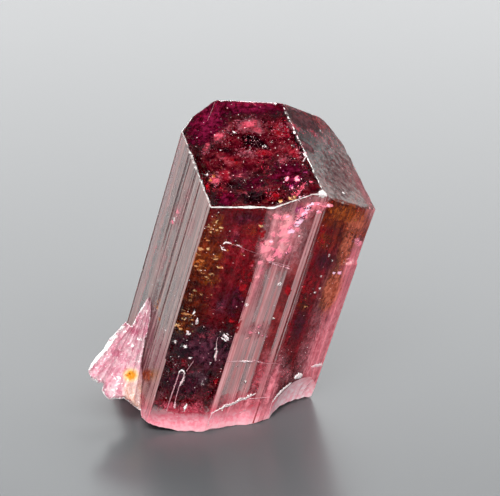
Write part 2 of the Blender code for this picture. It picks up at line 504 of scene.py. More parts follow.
def corner_cutter(name, point, normal, size, seed):
    """A thick slab with a gently rough face: takes off a corner along a broken plane."""
    rng = np.random.default_rng(seed)
    n = Vector(normal).normalized()
    q = n.to_track_quat("Z", "Y").to_matrix()
    k = 26
    us = np.linspace(-size, size, k)
    verts, faces = [], []
    for z in (0, 1):
        for a in us:
            for b in us:
                h = (
                    0.05 * math.sin(a * 2.2 + 1) * math.sin(b * 1.7)
                    + 0.03 * math.sin(a * 5.1 + b * 3.2)
                    + rng.uniform(-0.012, 0.012)
                )
                p = Vector((a, b, h if z == 0 else size))
                verts.append(tuple((q @ p) + Vector(point) + Vector(SHIFT)))
    def at(z, i, j):
        return z * k * k + i * k + j
    for i in range(k - 1):
        for j in range(k - 1):
            faces.append((at(0, i, j), at(0, i, j + 1), at(0, i + 1, j + 1), at(0, i + 1, j)))
            faces.append((at(1, i, j), at(1, i + 1, j), at(1, i + 1, j + 1), at(1, i, j + 1)))
    for i in range(k - 1):
        faces.append((at(0, i, 0), at(0, i + 1, 0), at(1, i + 1, 0), at(1, i, 0)))
        faces.append((at(0, i + 1, k - 1), at(0, i, k - 1), at(1, i, k - 1), at(1, i + 1, k - 1)))
        faces.append((at(0, 0, i + 1), at(0, 0, i), at(1, 0, i), at(1, 0, i + 1)))
        faces.append((at(0, k - 1, i), at(0, k - 1, i + 1), at(1, k - 1, i + 1), at(1, k - 1, i)))
    obj = new_object(name, verts, faces)
    bm = bmesh.new()
    bm.from_mesh(obj.data)
    bmesh.ops.recalc_face_normals(bm, faces=bm.faces[:])
    bm.to_mesh(obj.data)
    bm.free()
    return obj


CHIP = ((9.25, -5.75, -0.67), 5.0)


def left_break(low, high):
    """The broken foot corner by the side crystals: a plane seen edge on, from two places in the frame."""
    flat = np.array([*bearing(PRISM[0][1]), 0.0])
    normal, at = T @ flat, to_row(flat * PRISM[0][2])
    ray = rays((low, high))
    low, high = EYE + ray * (((at - EYE) @ normal) / (ray @ normal))[:, None]
    out = np.cross(high - low, ray[0])
    out *= -np.sign(out[0]) / np.linalg.norm(out)
    return tuple(low - SHIFT), tuple(out)


CORNER_BREAKS = (
    left_break((142.2, 420.0), (139.8, 405.0)),
    left_break((151.5, 424.6), (141.8, 417.0)),
    left_break((172.0, 429.4), (149.0, 423.0)),
    ((8.1, 1.2, 0.30), (0.66, 0.34, -0.67)),
    ((1.0, 6.0, 0.25), (0.06, 0.78, -0.62)),
)


def break_base(obj):
    cutters = [chip_ball("chip_a", CHIP[0], CHIP[1], (1.0, 1.0, 0.96), 3, 0.006)]
    cutters += [corner_cutter("break_%d" % k, p, n, 4.3, 11 + k) for k, (p, n) in enumerate(CORNER_BREAKS)]
    for c in cutters:
        for layer in ("grown", "rim", "lane"):
            c.data.attributes.new(layer, "FLOAT", "FACE")
        m = obj.modifiers.new("cut", "BOOLEAN")
        m.operation = "DIFFERENCE"
        m.solver = "EXACT"
        m.object = c
    apply_modifiers(obj)
    for c in cutters:
        bpy.data.objects.remove(c, do_unlink=True)


main = build_main()
break_base(main)
bm = bmesh.new()
bm.from_mesh(main.data)
open_edges = sum(1 for e in bm.edges if not e.is_manifold)
bmesh.ops.triangulate(bm, faces=[f for f in bm.faces if len(f.verts) > 4])
bm.to_mesh(main.data)
print("main faces", len(bm.faces), "open", open_edges, "volume mm3", bm.calc_volume() * 1e9)
bm.free()
main.data.shade_smooth()
main.data.set_sharp_from_angle(angle=math.radians(9))


# --------------------------------------------------------------------------------------------------------------------
# Surface zones of the main crystal, kept as face attributes
# --------------------------------------------------------------------------------------------------------------------
PRISM_N = np.array([[*bearing(f[1]), 0.0] for f in PRISM])
PRISM_D = np.array([f[2] for f in PRISM])
CAP_N = np.column_stack([-CAP[:, 0], -CAP[:, 1], np.ones(3)])
CAP_N = CAP_N / np.linalg.norm(CAP_N, axis=1)[:, None]
CAP_D = CAP[:, 2] * CAP_N[:, 2]
CORNERS = np.array(corners())
NAMES = [f[0] for f in PRISM]


def across(face, xy):
    """0..1 along a prism face, from its left edge as seen from outside to its right edge."""
    i = NAMES.index(face)
    p, q = CORNERS[i], CORNERS[(i + 1) % len(PRISM)]
    return (xy - p) @ (q - p) / ((q - p) @ (q - p))


def in_frame(v):
    """Where points in the row frame show in the frame."""
    rel = v - EYE
    ahead = rel @ np.array([0, math.cos(PITCH), -math.sin(PITCH)])
    down = rel @ np.array([0, -math.sin(PITCH), -math.cos(PITCH)])
    return np.column_stack([250 + FOCAL * rel[:, 0] / ahead, 248 + FOCAL * down / ahead])


def block(px, x, y, wide, high, turn=0.0, soft=False):
    c, s = math.cos(math.radians(turn)), math.sin(math.radians(turn))
    dx, dy = px[:, 0] - x, px[:, 1] - y
    u, v = (dx * c + dy * s) / wide, (-dx * s + dy * c) / high
    if soft:
        return np.exp(-0.8 * (u**2 + v**2))
    return np.exp(-0.9 * (u**4 + v**4))


# Bright patches of the healed veils right at the surface, by face: (kind, x, y, wide, high, turn, strength) in the
# frame. Many are painted light: the white, pink and gold glints and sparkles are painted highlights and light reflected
# off the veils, and the dark shade patches are painted shade or a painted dark reflection
PATCHES = {
    "cap2": (
        ("shade", 342, 178, 28, 36, -28, 0.42),
        ("bloom", 296, 127, 8, 2.4, 38, 0.50), ("bloom", 313, 133, 7, 2.0, 45, 0.48), ("bloom", 330, 142, 6, 3, 30, 0.36),
        ("bloom", 331, 153, 7, 2.0, 30, 0.36), ("bloom", 344, 166, 8, 2.0, 45, 0.34), ("shade", 306, 146, 9, 2.6, 35, 0.9), ("shade", 304, 120, 22, 10, 25, 0.5),
        ("mauve", 363, 190, 3.6, 24, -28, 0.7), ("white_and_glint", 321, 131, 1.6, 1.0, 0, 0.6), ("white_and_glint", 343, 193, 1.2, 1.0, 0, 0.7),
    ),
    "cap1": (
        ("sparkle_glint", 258, 150, 58, 44, 0, 0.50), ("sparkle_glint", 250, 184, 40, 14, 0, 0.40), ("sparkle_glint", 214, 168, 14, 18, 0, 0.40),
        ("bloom", 249, 124, 9, 4.0, -5, 0.84), ("bloom", 257, 129.5, 6, 2.4, 25, 0.66), ("bloom", 219, 136, 6.4, 3.8, -35, 0.80),
        ("bloom", 207, 147, 2.6, 5.5, 25, 0.60), ("bloom", 283, 161, 5.5, 2.6, -25, 0.60), ("bloom", 276, 128, 8, 5, 20, 0.34),
        ("bloom", 215, 180, 5.5, 4.5, 0, 0.80), ("bloom", 252, 104, 3.4, 4.2, -15, 0.45), ("bloom", 252, 153, 9, 2.0, 10, 0.40), ("wine", 208, 122, 16, 26, 35, 0.70), ("wine", 250, 105, 44, 9, 0, 0.72), ("wine", 288, 174, 20, 14, 0, 0.55), ("wine", 226, 198, 16, 9, 0, 0.5),
        ("wine", 254, 184, 18, 10, 0, 0.4), ("bloom", 236, 176, 12, 3, -12, 0.50), ("bloom", 262, 188, 12, 3, -14, 0.48), ("bloom", 244, 193, 9, 2.2, 0, 0.46), ("bloom", 280, 148, 9, 3, -10, 0.45),
        ("bloom", 222, 158, 8, 3, 20, 0.42), ("gold", 210, 178, 6, 6, 0, 0.34), ("gold", 285, 200, 12, 3, -14, 0.36),  ("magenta", 285, 171, 7, 3, 0, 0.50), ("magenta", 303, 172, 4, 3, 30, 0.50),
        ("bloom", 229, 127, 5, 2, -40, 0.40), ("bloom", 301, 188, 7, 3.2, -25, 0.62), ("bloom", 294, 195, 6, 2.2, -22, 0.62),
        ("bloom", 296, 151, 4, 4, -20, 0.35), ("bloom", 270, 174, 4, 3, 0, 0.35),
        ("rosy", 286.8, 179, 1.7, 2.8, 0, 0.9), ("painted_glint", 286.8, 178.6, 0.8, 1.3, 0, 0.8), ("magenta", 297, 179.6, 3.4, 5.0, 0, 0.7), ("rosy", 297.4, 179.6, 1.6, 2.8, 0, 0.85), ("painted_glint", 297.4, 179.2, 0.8, 1.6, 0, 0.75), ("magenta", 291.5, 187, 2.6, 3.0, 0, 1.0), ("rosy", 291.6, 187, 1.3, 1.3, 0, 0.8),
        ("bloom", 302, 186.4, 4.0, 1.5, -35, 1.1), ("bloom", 299, 193, 3.4, 1.4, -30, 1.1), ("painted_glint", 300.4, 196, 1.6, 0.9, -15, 0.8), ("bloom", 309, 182.6, 3.4, 1.1, -28, 1.1),
        ("cherry", 206, 187, 3.4, 8, -15, 0.40), ("cherry", 262, 153, 12, 3.4, 0, 0.26), ("cherry", 222, 193, 8, 4.5, 0, 0.5),
        ("cherry", 232, 162, 8, 3, 10, 0.45), ("cherry", 283, 202.5, 6, 2.2, -8, 0.30), ("cherry", 272, 194, 9, 4, 0, 0.4),
        ("cherry", 283, 130, 7, 5, 0, 0.4), ("gold", 212.5, 181, 3, 2.2, 0, 0.55), ("gold", 281, 201, 3.4, 1.3, -8, 0.7),
        ("gold", 204, 166, 2, 2, 0, 0.4),
        ("white_and_glint", 264, 146, 4, 1.5, -10, 0.55), ("white_and_glint", 272.5, 142, 1.6, 1.6, 0, 0.7), ("white_and_glint", 234.5, 132.5, 1.8, 1.5, 0, 0.7),
        ("white_and_glint", 244, 162, 1.4, 1.4, 0, 0.6), ("white_and_glint", 206, 174.5, 4, 1.2, 10, 0.5), ("white_and_glint", 269, 189.5, 1.6, 1.3, 0, 0.6),
    ),
    "front": (
        ("sparkle_glint", 208, 250, 28, 60, 15, 0.34), ("sparkle_glint", 198, 330, 34, 40, 15, 0.44), ("sparkle_glint", 190, 395, 34, 20, 10, 0.34),
        ("ochre", 199, 262, 9, 9, 15, 0.85), ("ochre", 217, 226, 6, 12, 15, 0.70), ("ochre", 210, 280, 13, 6, 15, 0.55), ("ochre", 216, 255, 9, 5, 15, 0.6), ("ochre", 184, 326, 8, 6, 0, 0.55),
        ("gold", 216.5, 220, 2.2, 2.8, 0, 0.75), ("gold", 219, 231, 4.2, 3.4, 0, 0.75), ("gold", 197.5, 259.5, 5.5, 1.9, 18, 1.0),
        ("gold", 196.5, 265.5, 5.0, 1.3, 12, 0.95), ("gold", 204, 249, 7, 2.6, 0, 0.75), ("gold", 206, 240, 3.6, 3.2, 0, 0.55),
        ("gold", 214, 257, 5, 2.8, 20, 0.75), ("gold", 220, 267, 4.4, 1.8, 0, 0.85), ("gold", 203, 277, 7, 2.4, 10, 0.45),
        ("gold", 181, 326, 5.5, 4.4, 0, 0.62), ("gold", 190, 317, 3.4, 5.5, 0, 0.52),
        ("gold", 207, 297, 4.2, 3.4, 0, 0.55), ("gold", 257, 226, 4, 1.8, 0, 0.65), ("gold", 184, 300, 4, 3, 0, 0.35),
        ("haze", 232, 240, 46, 44, 10, 0.85), ("haze", 222, 290, 46, 44, 15, 0.62), ("haze", 186, 404, 30, 9, 5, 0.42), ("bloom", 232, 252, 9, 3, 10, 0.34), ("bloom", 238, 232, 8, 6, 0, 0.30),
        ("gold", 212, 226, 9, 12, 15, 0.28), ("gold", 202, 250, 11, 16, 15, 0.30), ("gold", 205, 272, 12, 8, 15, 0.26), ("gold", 186, 320, 11, 14, 15, 0.28),
        ("gold", 232, 245, 14, 12, 0, 0.22), ("gold", 256, 226, 8, 5, 0, 0.34), ("gold", 198, 298, 14, 12, 0, 0.20), ("cherry", 240, 240, 28, 24, 0, 0.14), ("wine", 236, 236, 20, 12, 0, 0.40),
        ("cherry", 226, 266, 22, 20, 15, 0.14), ("cherry", 245, 282, 8, 20, 15, 0.40), ("cherry", 205, 300, 22, 22, 15, 0.18), ("wine", 236, 300, 14, 16, 15, 0.5),
        ("rust", 206, 256, 16, 36, 15, 0.80), ("rust", 192, 300, 18, 26, 15, 0.55), ("haze", 206, 334, 36, 20, 10, 0.30), ("violet", 206, 350, 30, 20, 12, 0.60), ("violet", 184, 384, 22, 14, 10, 0.50), ("violet", 224, 304, 12, 12, 15, 0.45),
        ("violet", 214, 282, 14, 12, 15, 0.26), ("bloom", 206, 336, 12, 5, -20, 0.42), ("bloom", 196, 372, 10, 4, 10, 0.36), ("bloom", 175, 398, 10, 4, 10, 0.42), ("bloom", 212, 396, 9, 4, 10, 0.40), ("wine", 246, 220, 22, 8, 0, 0.5), ("haze", 262, 246, 8, 40, 15, 0.8),
        ("rust", 203, 246, 9, 9, 0, 0.65), ("rust", 198, 264, 8, 7, 0, 0.6), ("rust", 208, 279, 12, 6, 15, 0.55), ("rust", 184, 326, 7, 6, 0, 0.6),
        ("rust", 250, 230, 12, 9, 0, 0.45), ("rust", 212, 224, 8, 10, 15, 0.35),
        ("white_and_glint", 227, 243, 4.0, 1.2, 5, 0.7), ("white_and_glint", 223.5, 248.5, 3.4, 1.0, 30, 0.65), ("white_and_glint", 226, 337, 4.2, 1.7, 45, 0.95),
        ("white_and_glint", 184.5, 346.5, 3.6, 1.6, 40, 0.8), ("white_and_glint", 215.5, 353, 1.1, 7, 4, 0.8), ("white_and_glint", 197, 321, 1.2, 3.6, 15, 0.8),
        ("white_and_glint", 188, 333, 2.4, 1.8, 60, 0.7), ("white_and_glint", 175, 342, 1.6, 1.6, 0, 0.7), ("white_and_glint", 190, 358, 1.9, 1.1, 0, 0.75),
        ("white_and_glint", 202, 382, 1.2, 5, 10, 0.55), ("white_and_glint", 239, 245.5, 5, 0.9, 18, 0.55), ("white_and_glint", 194, 312, 1.2, 3, 15, 0.6),
        ("white_and_glint", 185, 406.5, 1.5, 1.4, 30, 0.95), ("white_and_glint", 210, 363, 1.5, 1.2, 0, 0.6),
        ("cherry", 262, 228, 4.4, 10, 12, 0.80), ("cherry", 252, 264, 2.8, 4.6, 20, 0.95), ("cherry", 247, 278, 5, 9, 10, 0.60),
        ("cherry", 233, 321, 3.6, 3.0, 0, 0.70), ("cherry", 238, 326, 2.2, 8, 15, 0.9), ("cherry", 182, 361, 2.6, 3.4, 0, 0.7),
        ("cherry", 216, 382, 1.6, 3.4, 0, 0.8), ("cherry", 246, 292, 3, 12, 15, 0.5),
        ("bloom", 243, 250, 1.9, 2.4, 0, 0.9), ("bloom", 262, 243, 2.6, 4.4, 15, 0.85), ("bloom", 252, 265.5, 1.6, 1.6, 0, 0.8),
        ("bloom", 241, 281, 1.8, 2.8, -30, 0.6), ("bloom", 222, 308, 4, 4, 0, 0.4), ("bloom", 184, 408, 28, 7, 4, 0.75), ("bloom", 190, 398, 16, 6, 0, 0.45),
    ),
    "right_front": (
        ("mauve", 283, 232, 22, 34, 12, 0.90), ("blush", 284, 234, 16, 24, 8, 1.2), ("blush", 269, 250, 9, 16, 12, 0.95), ("blush", 302, 214, 12, 7, -45, 0.90), ("blush", 318, 206, 14, 5, 0, 0.80),
        ("magenta", 301, 211, 7, 7, -30, 0.80), ("magenta", 288, 224, 8, 5, 0, 0.50), ("mauve", 312, 199.5, 14, 3.0, -8, 0.9), ("rosy", 281, 236, 15, 24, 10, 0.31), ("rosy", 268, 250, 8, 12, 12, 0.40), ("rosy", 262, 272, 4, 14, 15, 0.17), ("rosy", 303, 213, 9, 6, -45, 0.36), ("bloom", 284, 262, 8, 6, 0, 0.40), ("blush", 258, 280, 5, 26, 15, 0.5),
        ("rosy", 276.5, 217.5, 4.6, 3.0, 15, 0.85), ("rosy", 287.5, 217, 3.8, 2.8, 5, 1.0), ("painted_glint", 287.5, 216.5, 2.0, 1.4, 0, 0.7),
        ("rosy", 287, 228, 7.5, 2.6, 0, 0.95), ("rosy", 284.5, 233.5, 6.5, 3.0, 3, 1.0), ("painted_glint", 291.5, 231.3, 3.6, 1.8, -3, 1.1), ("rosy", 297.5, 230, 3.2, 3.6, 0, 0.75),
        ("rosy", 285, 240.3, 6.4, 1.3, 1, 1.0), ("rosy", 288, 245, 3, 1.2, 0, 0.7), ("rosy", 269, 242.5, 5.4, 2.6, 0, 0.95), ("painted_glint", 271.5, 241.5, 2.0, 2.0, 10, 0.65),
        ("rosy", 267, 249, 5.0, 3.0, 10, 1.0), ("rosy", 278.5, 253, 4.4, 4.2, 20, 0.85), ("rosy", 272, 256.5, 4.4, 2.0, 10, 0.8), ("rosy", 270, 260, 3.6, 1.4, 20, 0.8),
        ("rosy", 262, 258, 3, 6, 15, 0.42), ("rosy", 260, 262.5, 2, 1.4, 0, 0.7), ("mauve", 262, 262, 6, 16, 15, 0.7),
        ("painted_glint", 298.6, 222.6, 5.4, 2.4, -45, 1.2), ("painted_glint", 304.5, 213.6, 2.6, 2.0, -30, 1.15), ("painted_glint", 307.8, 208.4, 2.2, 3.0, 25, 1.1),
        ("rosy", 305.5, 217.5, 2.4, 2.4, 0, 0.9), ("rosy", 298.5, 212, 2.4, 5.4, 12, 0.60), ("rosy", 302, 218, 8, 3.4, -48, 0.85),
        ("rosy", 315, 204, 8.4, 1.8, -4, 0.95), ("painted_glint", 312, 203.6, 2.4, 1.2, 0, 0.9), ("painted_glint", 318.5, 204.0, 2.0, 1.1, 0, 0.85), ("rosy", 323.4, 206, 3.6, 1.4, 8, 0.8),
        ("rosy", 330, 205.5, 3.4, 1.7, 10, 1.05), ("painted_glint", 328.3, 205.0, 1.4, 1.5, 0, 1.0), ("rosy", 313.5, 210.8, 2.0, 1.0, 20, 0.9), ("rosy", 319, 212, 3.0, 1.6, 5, 1.0),
        ("painted_glint", 317.6, 211.8, 1.3, 1.1, 0, 0.95), ("white_and_glint", 299, 236, 1.2, 1.1, 0, 0.8), ("white_and_glint", 308.4, 231.4, 2.0, 0.9, -50, 0.6), ("cherry", 317, 207.8, 8, 0.9, -3, 0.8),
        ("mauve", 256, 330, 12, 7, -12, 0.85), ("rosy", 259, 326, 3.6, 1.4, -12, 0.62), ("rosy", 251, 332.4, 3.0, 1.3, -12, 0.58), ("rosy", 247, 339, 2.0, 1.0, 0, 0.5),
        ("rosy", 258, 277, 3.4, 1.2, 0, 0.7), ("mauve", 257, 296, 4, 24, 15, 0.5), ("white_and_glint", 279.5, 283.5, 1.6, 1.8, 0, 1.0), ("white_and_glint", 247, 304.5, 2.2, 1.4, 30, 0.9),
        ("blush", 262, 378, 9, 30, 15, 0.45), ("blush", 240, 404, 30, 10, -10, 0.62), ("cherry", 288, 290, 3, 8, 19, 0.6),
    ),
    "right_upper": (
        ("sparkle_glint", 316, 276, 16, 40, 19, 0.40), ("sparkle_glint", 290, 350, 16, 40, 19, 0.30),
        ("haze", 330, 236, 24, 34, 18, 0.95), ("haze", 320, 280, 22, 44, 18, 0.90), ("haze", 302, 334, 22, 54, 18, 0.85), 
        ("rust", 344, 216, 28, 14, 5, 1.1), ("ochre", 348, 214, 18, 8, 8, 1.1), ("ochre", 334, 211, 8, 5, 0, 0.7), ("rust", 342, 236, 12, 12, 15, 0.62), ("rust", 326, 241, 8, 8, 0, 0.9),
        ("salmon", 354, 226, 6, 9, 12, 0.95), ("salmon", 345, 250, 3.4, 16, 18, 0.8), ("salmon", 332, 288, 3.4, 18, 18, 0.75), ("cherry", 326, 240, 6, 5, 0, 0.5), ("cherry", 307, 291, 6, 13, 19, 0.70), ("cherry", 307, 296, 3.4, 3.4, 0, 0.75),
        ("wine", 340, 232, 8, 8, 15, 0.55), ("wine", 324, 262, 9, 10, 18, 0.55), ("wine", 300, 325, 8, 18, 18, 0.5), ("bloom", 320, 254, 2, 9, 18, 0.30),
        ("gold", 306.5, 307, 2.8, 1.6, 0, 1.0), ("gold", 307, 297.5, 1.6, 1.6, 0, 0.9), ("rust", 303, 306, 5, 5, 0, 0.7),
        ("rosy", 316, 207, 9, 5, 0, 0.5), ("white_and_glint", 321, 276.5, 1.3, 1.3, 0, 0.6), ("white_and_glint", 315, 293, 1.2, 1.2, 0, 0.8), ("white_and_glint", 320, 288, 1.2, 1.2, 0, 0.7),
        ("white_and_glint", 329, 256, 1.2, 2.4, 20, 0.55), ("white_and_glint", 332, 261, 1.2, 2.0, 30, 0.55), ("blush", 272, 388, 7, 30, 19, 0.75), ("blush", 284, 374, 8, 10, 0, 0.5),
    ),
    "right": (
        ("blush", 353, 266, 13, 30, 20, 0.90), ("blush", 342, 300, 18, 46, 22, 0.95), ("blush", 326, 352, 18, 38, 22, 1.10),
        ("salmon", 356, 222, 9, 14, 18, 1.0), ("rust", 361, 227, 9, 18, 18, 1.2), ("wine", 361, 234, 7, 9, 20, 0.70), ("shade", 362, 228, 9, 20, 20, 0.9), ("salmon", 346, 248, 6, 20, 18, 0.95), ("salmon", 332, 290, 8, 22, 19, 1.15), ("rust", 349, 262, 5, 8, 20, 0.5),
        ("wine", 357, 234, 5, 5, 20, 0.60), ("wine", 350, 250, 5, 8, 20, 0.60), ("wine", 340, 262, 5, 6, 20, 0.5), ("wine", 349, 270, 8, 1.6, -28, 0.40), ("wine", 327, 318, 4, 6, 20, 0.5), ("wine", 344, 284, 5, 18, 20, 0.42), ("rosy", 357.6, 242, 4, 4, 0, 0.6), ("rosy", 350, 262, 5, 4, 0, 0.5),
        ("painted_glint", 334, 273, 1.7, 1.5, 0, 0.9), ("painted_glint", 339.5, 273, 1.9, 1.6, 0, 1.0), ("cherry", 350, 238, 4, 6, 30, 0.5), ("cherry", 342, 286, 1.2, 8, 19, 0.5),
        ("white_and_glint", 318, 364.5, 6, 1.2, -18, 0.6),
    ),
    "left_front": (
        ("sparkle_glint", 172, 250, 24, 100, 15.7, 0.22),
        ("mauve", 178, 214, 6, 14, 15.7, 0.62), ("mauve", 191, 226, 4, 14, 15.7, 0.48), ("mauve", 187, 196, 4, 14, 15.7, 0.50), ("mauve", 162, 262, 4, 20, 15.7, 0.45),
        ("rosy", 178, 212, 2, 3, 15, 0.5), ("rosy", 172, 222, 2, 2, 15, 0.5), ("gold", 157, 305, 3, 8, 15, 0.30), ("gold", 160, 318, 3, 4, 15, 0.30), ("white_and_glint", 174.5, 219, 1.2, 2.4, -10, 0.6), ("white_and_glint", 165, 330, 1.3, 1.6, 0, 0.7),
        # painted reflection of the side crystals in this face: the stain patch with its salmon halo mirrors their
        # stain, and the shade patches beside them are their dark reflection
        ("stain_and_reflection", 147.8, 375.5, 5.0, 5.2, 10, 1.25), ("salmon", 147.6, 376, 7.4, 8, 10, 0.42), ("shade", 147, 346, 7, 50, 10, 0.95), ("shade", 156, 372, 14, 34, 15, 0.75),
        ("shade", 170, 330, 8, 60, 15.7, 0.30), ("mauve", 154, 402, 12, 12, 10, 0.7),
    ),
}
SOFT = ("sparkle_glint", "haze", "violet", "wine", "blush", "mauve", "magenta", "shade", "salmon", "rust", "ochre", "stain_and_reflection")
GLOWS = ("sparkle_glint", "haze", "violet", "wine", "blush", "mauve", "salmon", "magenta", "painted_glint", "rosy", "bloom", "cherry", "rust", "ochre", "gold", "white_and_glint", "stain_and_reflection", "shade")


def band(t, lo, hi, soft=0.01):
    return np.clip((t - lo) / soft, 0, 1) * np.clip((hi - t) / soft, 0, 1)


def mark_zones(obj):
    mesh = obj.data
    count = len(mesh.polygons)
    centre = np.empty(count * 3)
    normal = np.empty(count * 3)
    mesh.polygons.foreach_get("center", centre)
    mesh.polygons.foreach_get("normal", normal)
    centre = to_crystal(centre.reshape(-1, 3) / MM)
    normal = normal.reshape(-1, 3) @ T
    depth_prism = PRISM_D[None, :] - centre @ PRISM_N.T
    depth_cap = CAP_D[None, :] - centre @ CAP_N.T
    depth = np.concatenate([depth_prism, depth_cap], axis=1)
    facing = np.concatenate([normal @ PRISM_N.T, normal @ CAP_N.T], axis=1)
    own = np.where(facing > 0.80, depth, 9.0)
    face = np.where(own.min(1) < 8, own.argmin(1), np.where(facing > 0.05, np.abs(depth), 9.0).argmin(1))
    near = np.sort(np.abs(depth), axis=1)
    best = facing[np.arange(count), face]
    grown = np.empty(count, np.float32)
    mesh.attributes["grown"].data.foreach_get("value", grown)
    broken = grown < 0.5
    frost_and_sheen = np.zeros(count)
    on = {n: (face == i) & ~broken for i, n in enumerate(NAMES)}
    xy = centre[:, :2]
    lane = np.empty(count, np.float32)
    mesh.attributes["lane"].data.foreach_get("value", lane)

    def lanes(name):
        m = on[name]
        return np.where(lane[m] > 0, lane[m], across(name, xy[m]))

    def put(name, value):
        frost_and_sheen[on[name]] = value(lanes(name))

    # frosting of the striated faces, which also paints in the grey sheen of light reflected off them
    put("left_front", lambda t: 0.61 + 0.30 * band(t, 0.80, 1.1, 0.05) + 0.22 * smooth_noise(t * 34, 3))
    put("front", lambda t: 0.0 * t)
    put("right_front", lambda t: np.maximum(
        0.64 * band(t, -0.1, 0.60, 0.006) + 0.20 * band(t, -0.1, 0.055, 0.01) + 0.20 * smooth_noise(t * 24, 31) * (t < 0.6),
        np.maximum(0.60 * band(t, 0.735, 0.84, 0.006), np.maximum(0.36 * band(t, 0.868, 0.945, 0.006), 0.14 * band(t, 0.60, 1.1, 0.006)))))
    put("right_upper", lambda t: 0.01 + 0.13 * band(t, -0.1, 0.10, 0.02))
    m = on["right"]
    t, z = lanes("right"), centre[m][:, 2]
    high = np.clip((z - 13.2) / 1.5, 0, 1)
    frost_and_sheen[m] = (0.95 - 0.65 * np.clip((0.52 - t) / 0.12, 0, 1) * high - 0.40 * np.clip((0.30 - t) / 0.10, 0, 1) * (1 - high)) + 0.14 * smooth_noise(t * 16, 14)
    for n in ("right_back", "back_right", "back", "left_back", "left"):
        put(n, lambda t: np.clip(0.22 + 0.25 * smooth_noise(t * 18, 21), 0, 1))
    frost_and_sheen[face == 12] = 0.10
    blush = np.zeros(count)
    blush[on["right"]] = 0.92
    blush[on["right_upper"]] = 0.8
    blush[on["left_front"]] = 0.10
    blush[on["right_front"]] = 0.64
    for n in ("right_back", "back_right", "back", "left_back", "left"):
        blush[on[n]] = 0.6
    clear_above = np.full(count, 99.0)
    garnet = np.zeros(count)
    m = on["right_front"]
    t, z = lanes("right_front"), centre[m][:, 2]
    clear_above[m] = np.where(t < 0.60, 14.45, 99.0)
    garnet[m] = band(t, 0.595, 0.74, 0.004) * np.clip((z - 5.2) / 1.6, 0, 1) * (0.85 + 0.3 * smooth_noise(z * 0.8, 61))
    garnet[m] = np.maximum(garnet[m], 0.9 * band(t, 0.842, 0.866, 0.004))
    garnet[m] = np.maximum(garnet[m], 0.35 * band(t, 0.945, 1.1, 0.004))
    wear_and_highlight = np.empty(count, np.float32)
    mesh.attributes["rim"].data.foreach_get("value", wear_and_highlight)
    capped = np.sort(depth_cap, axis=1)
    ridge = (capped[:, 1] < 0.13) & (capped[:, 0] < 0.10) & (wear_and_highlight == 0)
    ridge &= (best < 0.9985) & (face >= 10)
    front_ridge = ridge & (depth_cap[:, 2] > 0.6)
    # ridges are painted whiter, the front ridge most: wear and painted highlight
    edge = np.maximum(wear_and_highlight, np.where(front_ridge, 0.46, 0.0) + np.where(ridge & ~front_ridge, 0.35, 0.0))
    # the corner where the ridge meets the rim is painted white, as chipped wear with a painted highlight
    white_corner_distance = np.linalg.norm(centre - np.array([2.87, -4.96, 20.25]), axis=1)
    edge = np.maximum(edge, np.clip(1.35 - white_corner_distance / 0.38, 0, 1))
    # the lower half of the right cap face is milky: frosting with a painted sheen of reflected light
    fade = np.array([7.44, -1.18]) - np.array([-0.56, 2.90])
    down = (xy - np.array([-0.56, 2.90])) @ fade / (fade @ fade)
    f2 = face == 11
    frost_and_sheen[f2] = (0.05 + 0.33 * np.clip((down - 0.30) / 0.45, 0, 1))[f2]
    frost_and_sheen = np.clip(frost_and_sheen, 0, 1)
    frost_and_sheen[broken] = 0
    for name, values in (("frost_and_sheen", frost_and_sheen), ("broken", broken), ("edge", edge), ("blush", blush), ("clear_above", clear_above), ("garnet", garnet)):
        layer = mesh.attributes.new(name, "FLOAT", "FACE")
        layer.data.foreach_set("value", np.asarray(values, np.float32))
    # the bright patches, point by point, with their painted glints, reflections and shade
    where = np.empty(len(mesh.vertices) * 3)
    mesh.vertices.foreach_get("co", where)
    row = where.reshape(-1, 3) / MM
    own_frame = to_crystal(row)
    gap = np.abs(np.concatenate([PRISM_D[None, :] - own_frame @ PRISM_N.T, CAP_D[None, :] - own_frame @ CAP_N.T], axis=1))
    px = in_frame(row)
    glow = {kind: np.zeros(len(row)) for kind in GLOWS}
    names = NAMES + ["cap1", "cap2", "cap3"]
    for pane, patches in PATCHES.items():
        m = (gap[:, names.index(pane)] < 0.30) & (gap[:, names.index(pane)] < gap.min(1) + 0.14)
        for kind, x, y, wide, high, turn, strength in patches:
            glow[kind][m] = np.maximum(glow[kind][m], strength * block(px[m], x, y, wide, high, turn, kind in SOFT))
    for kind, values in glow.items():
        layer = mesh.attributes.new("glow_" + kind, "FLOAT", "POINT")
        layer.data.foreach_set("value", np.asarray(values, np.float32))
    print("broken", int(broken.sum()), "edge", int((edge > 0.1).sum()))


mark_zones(main)


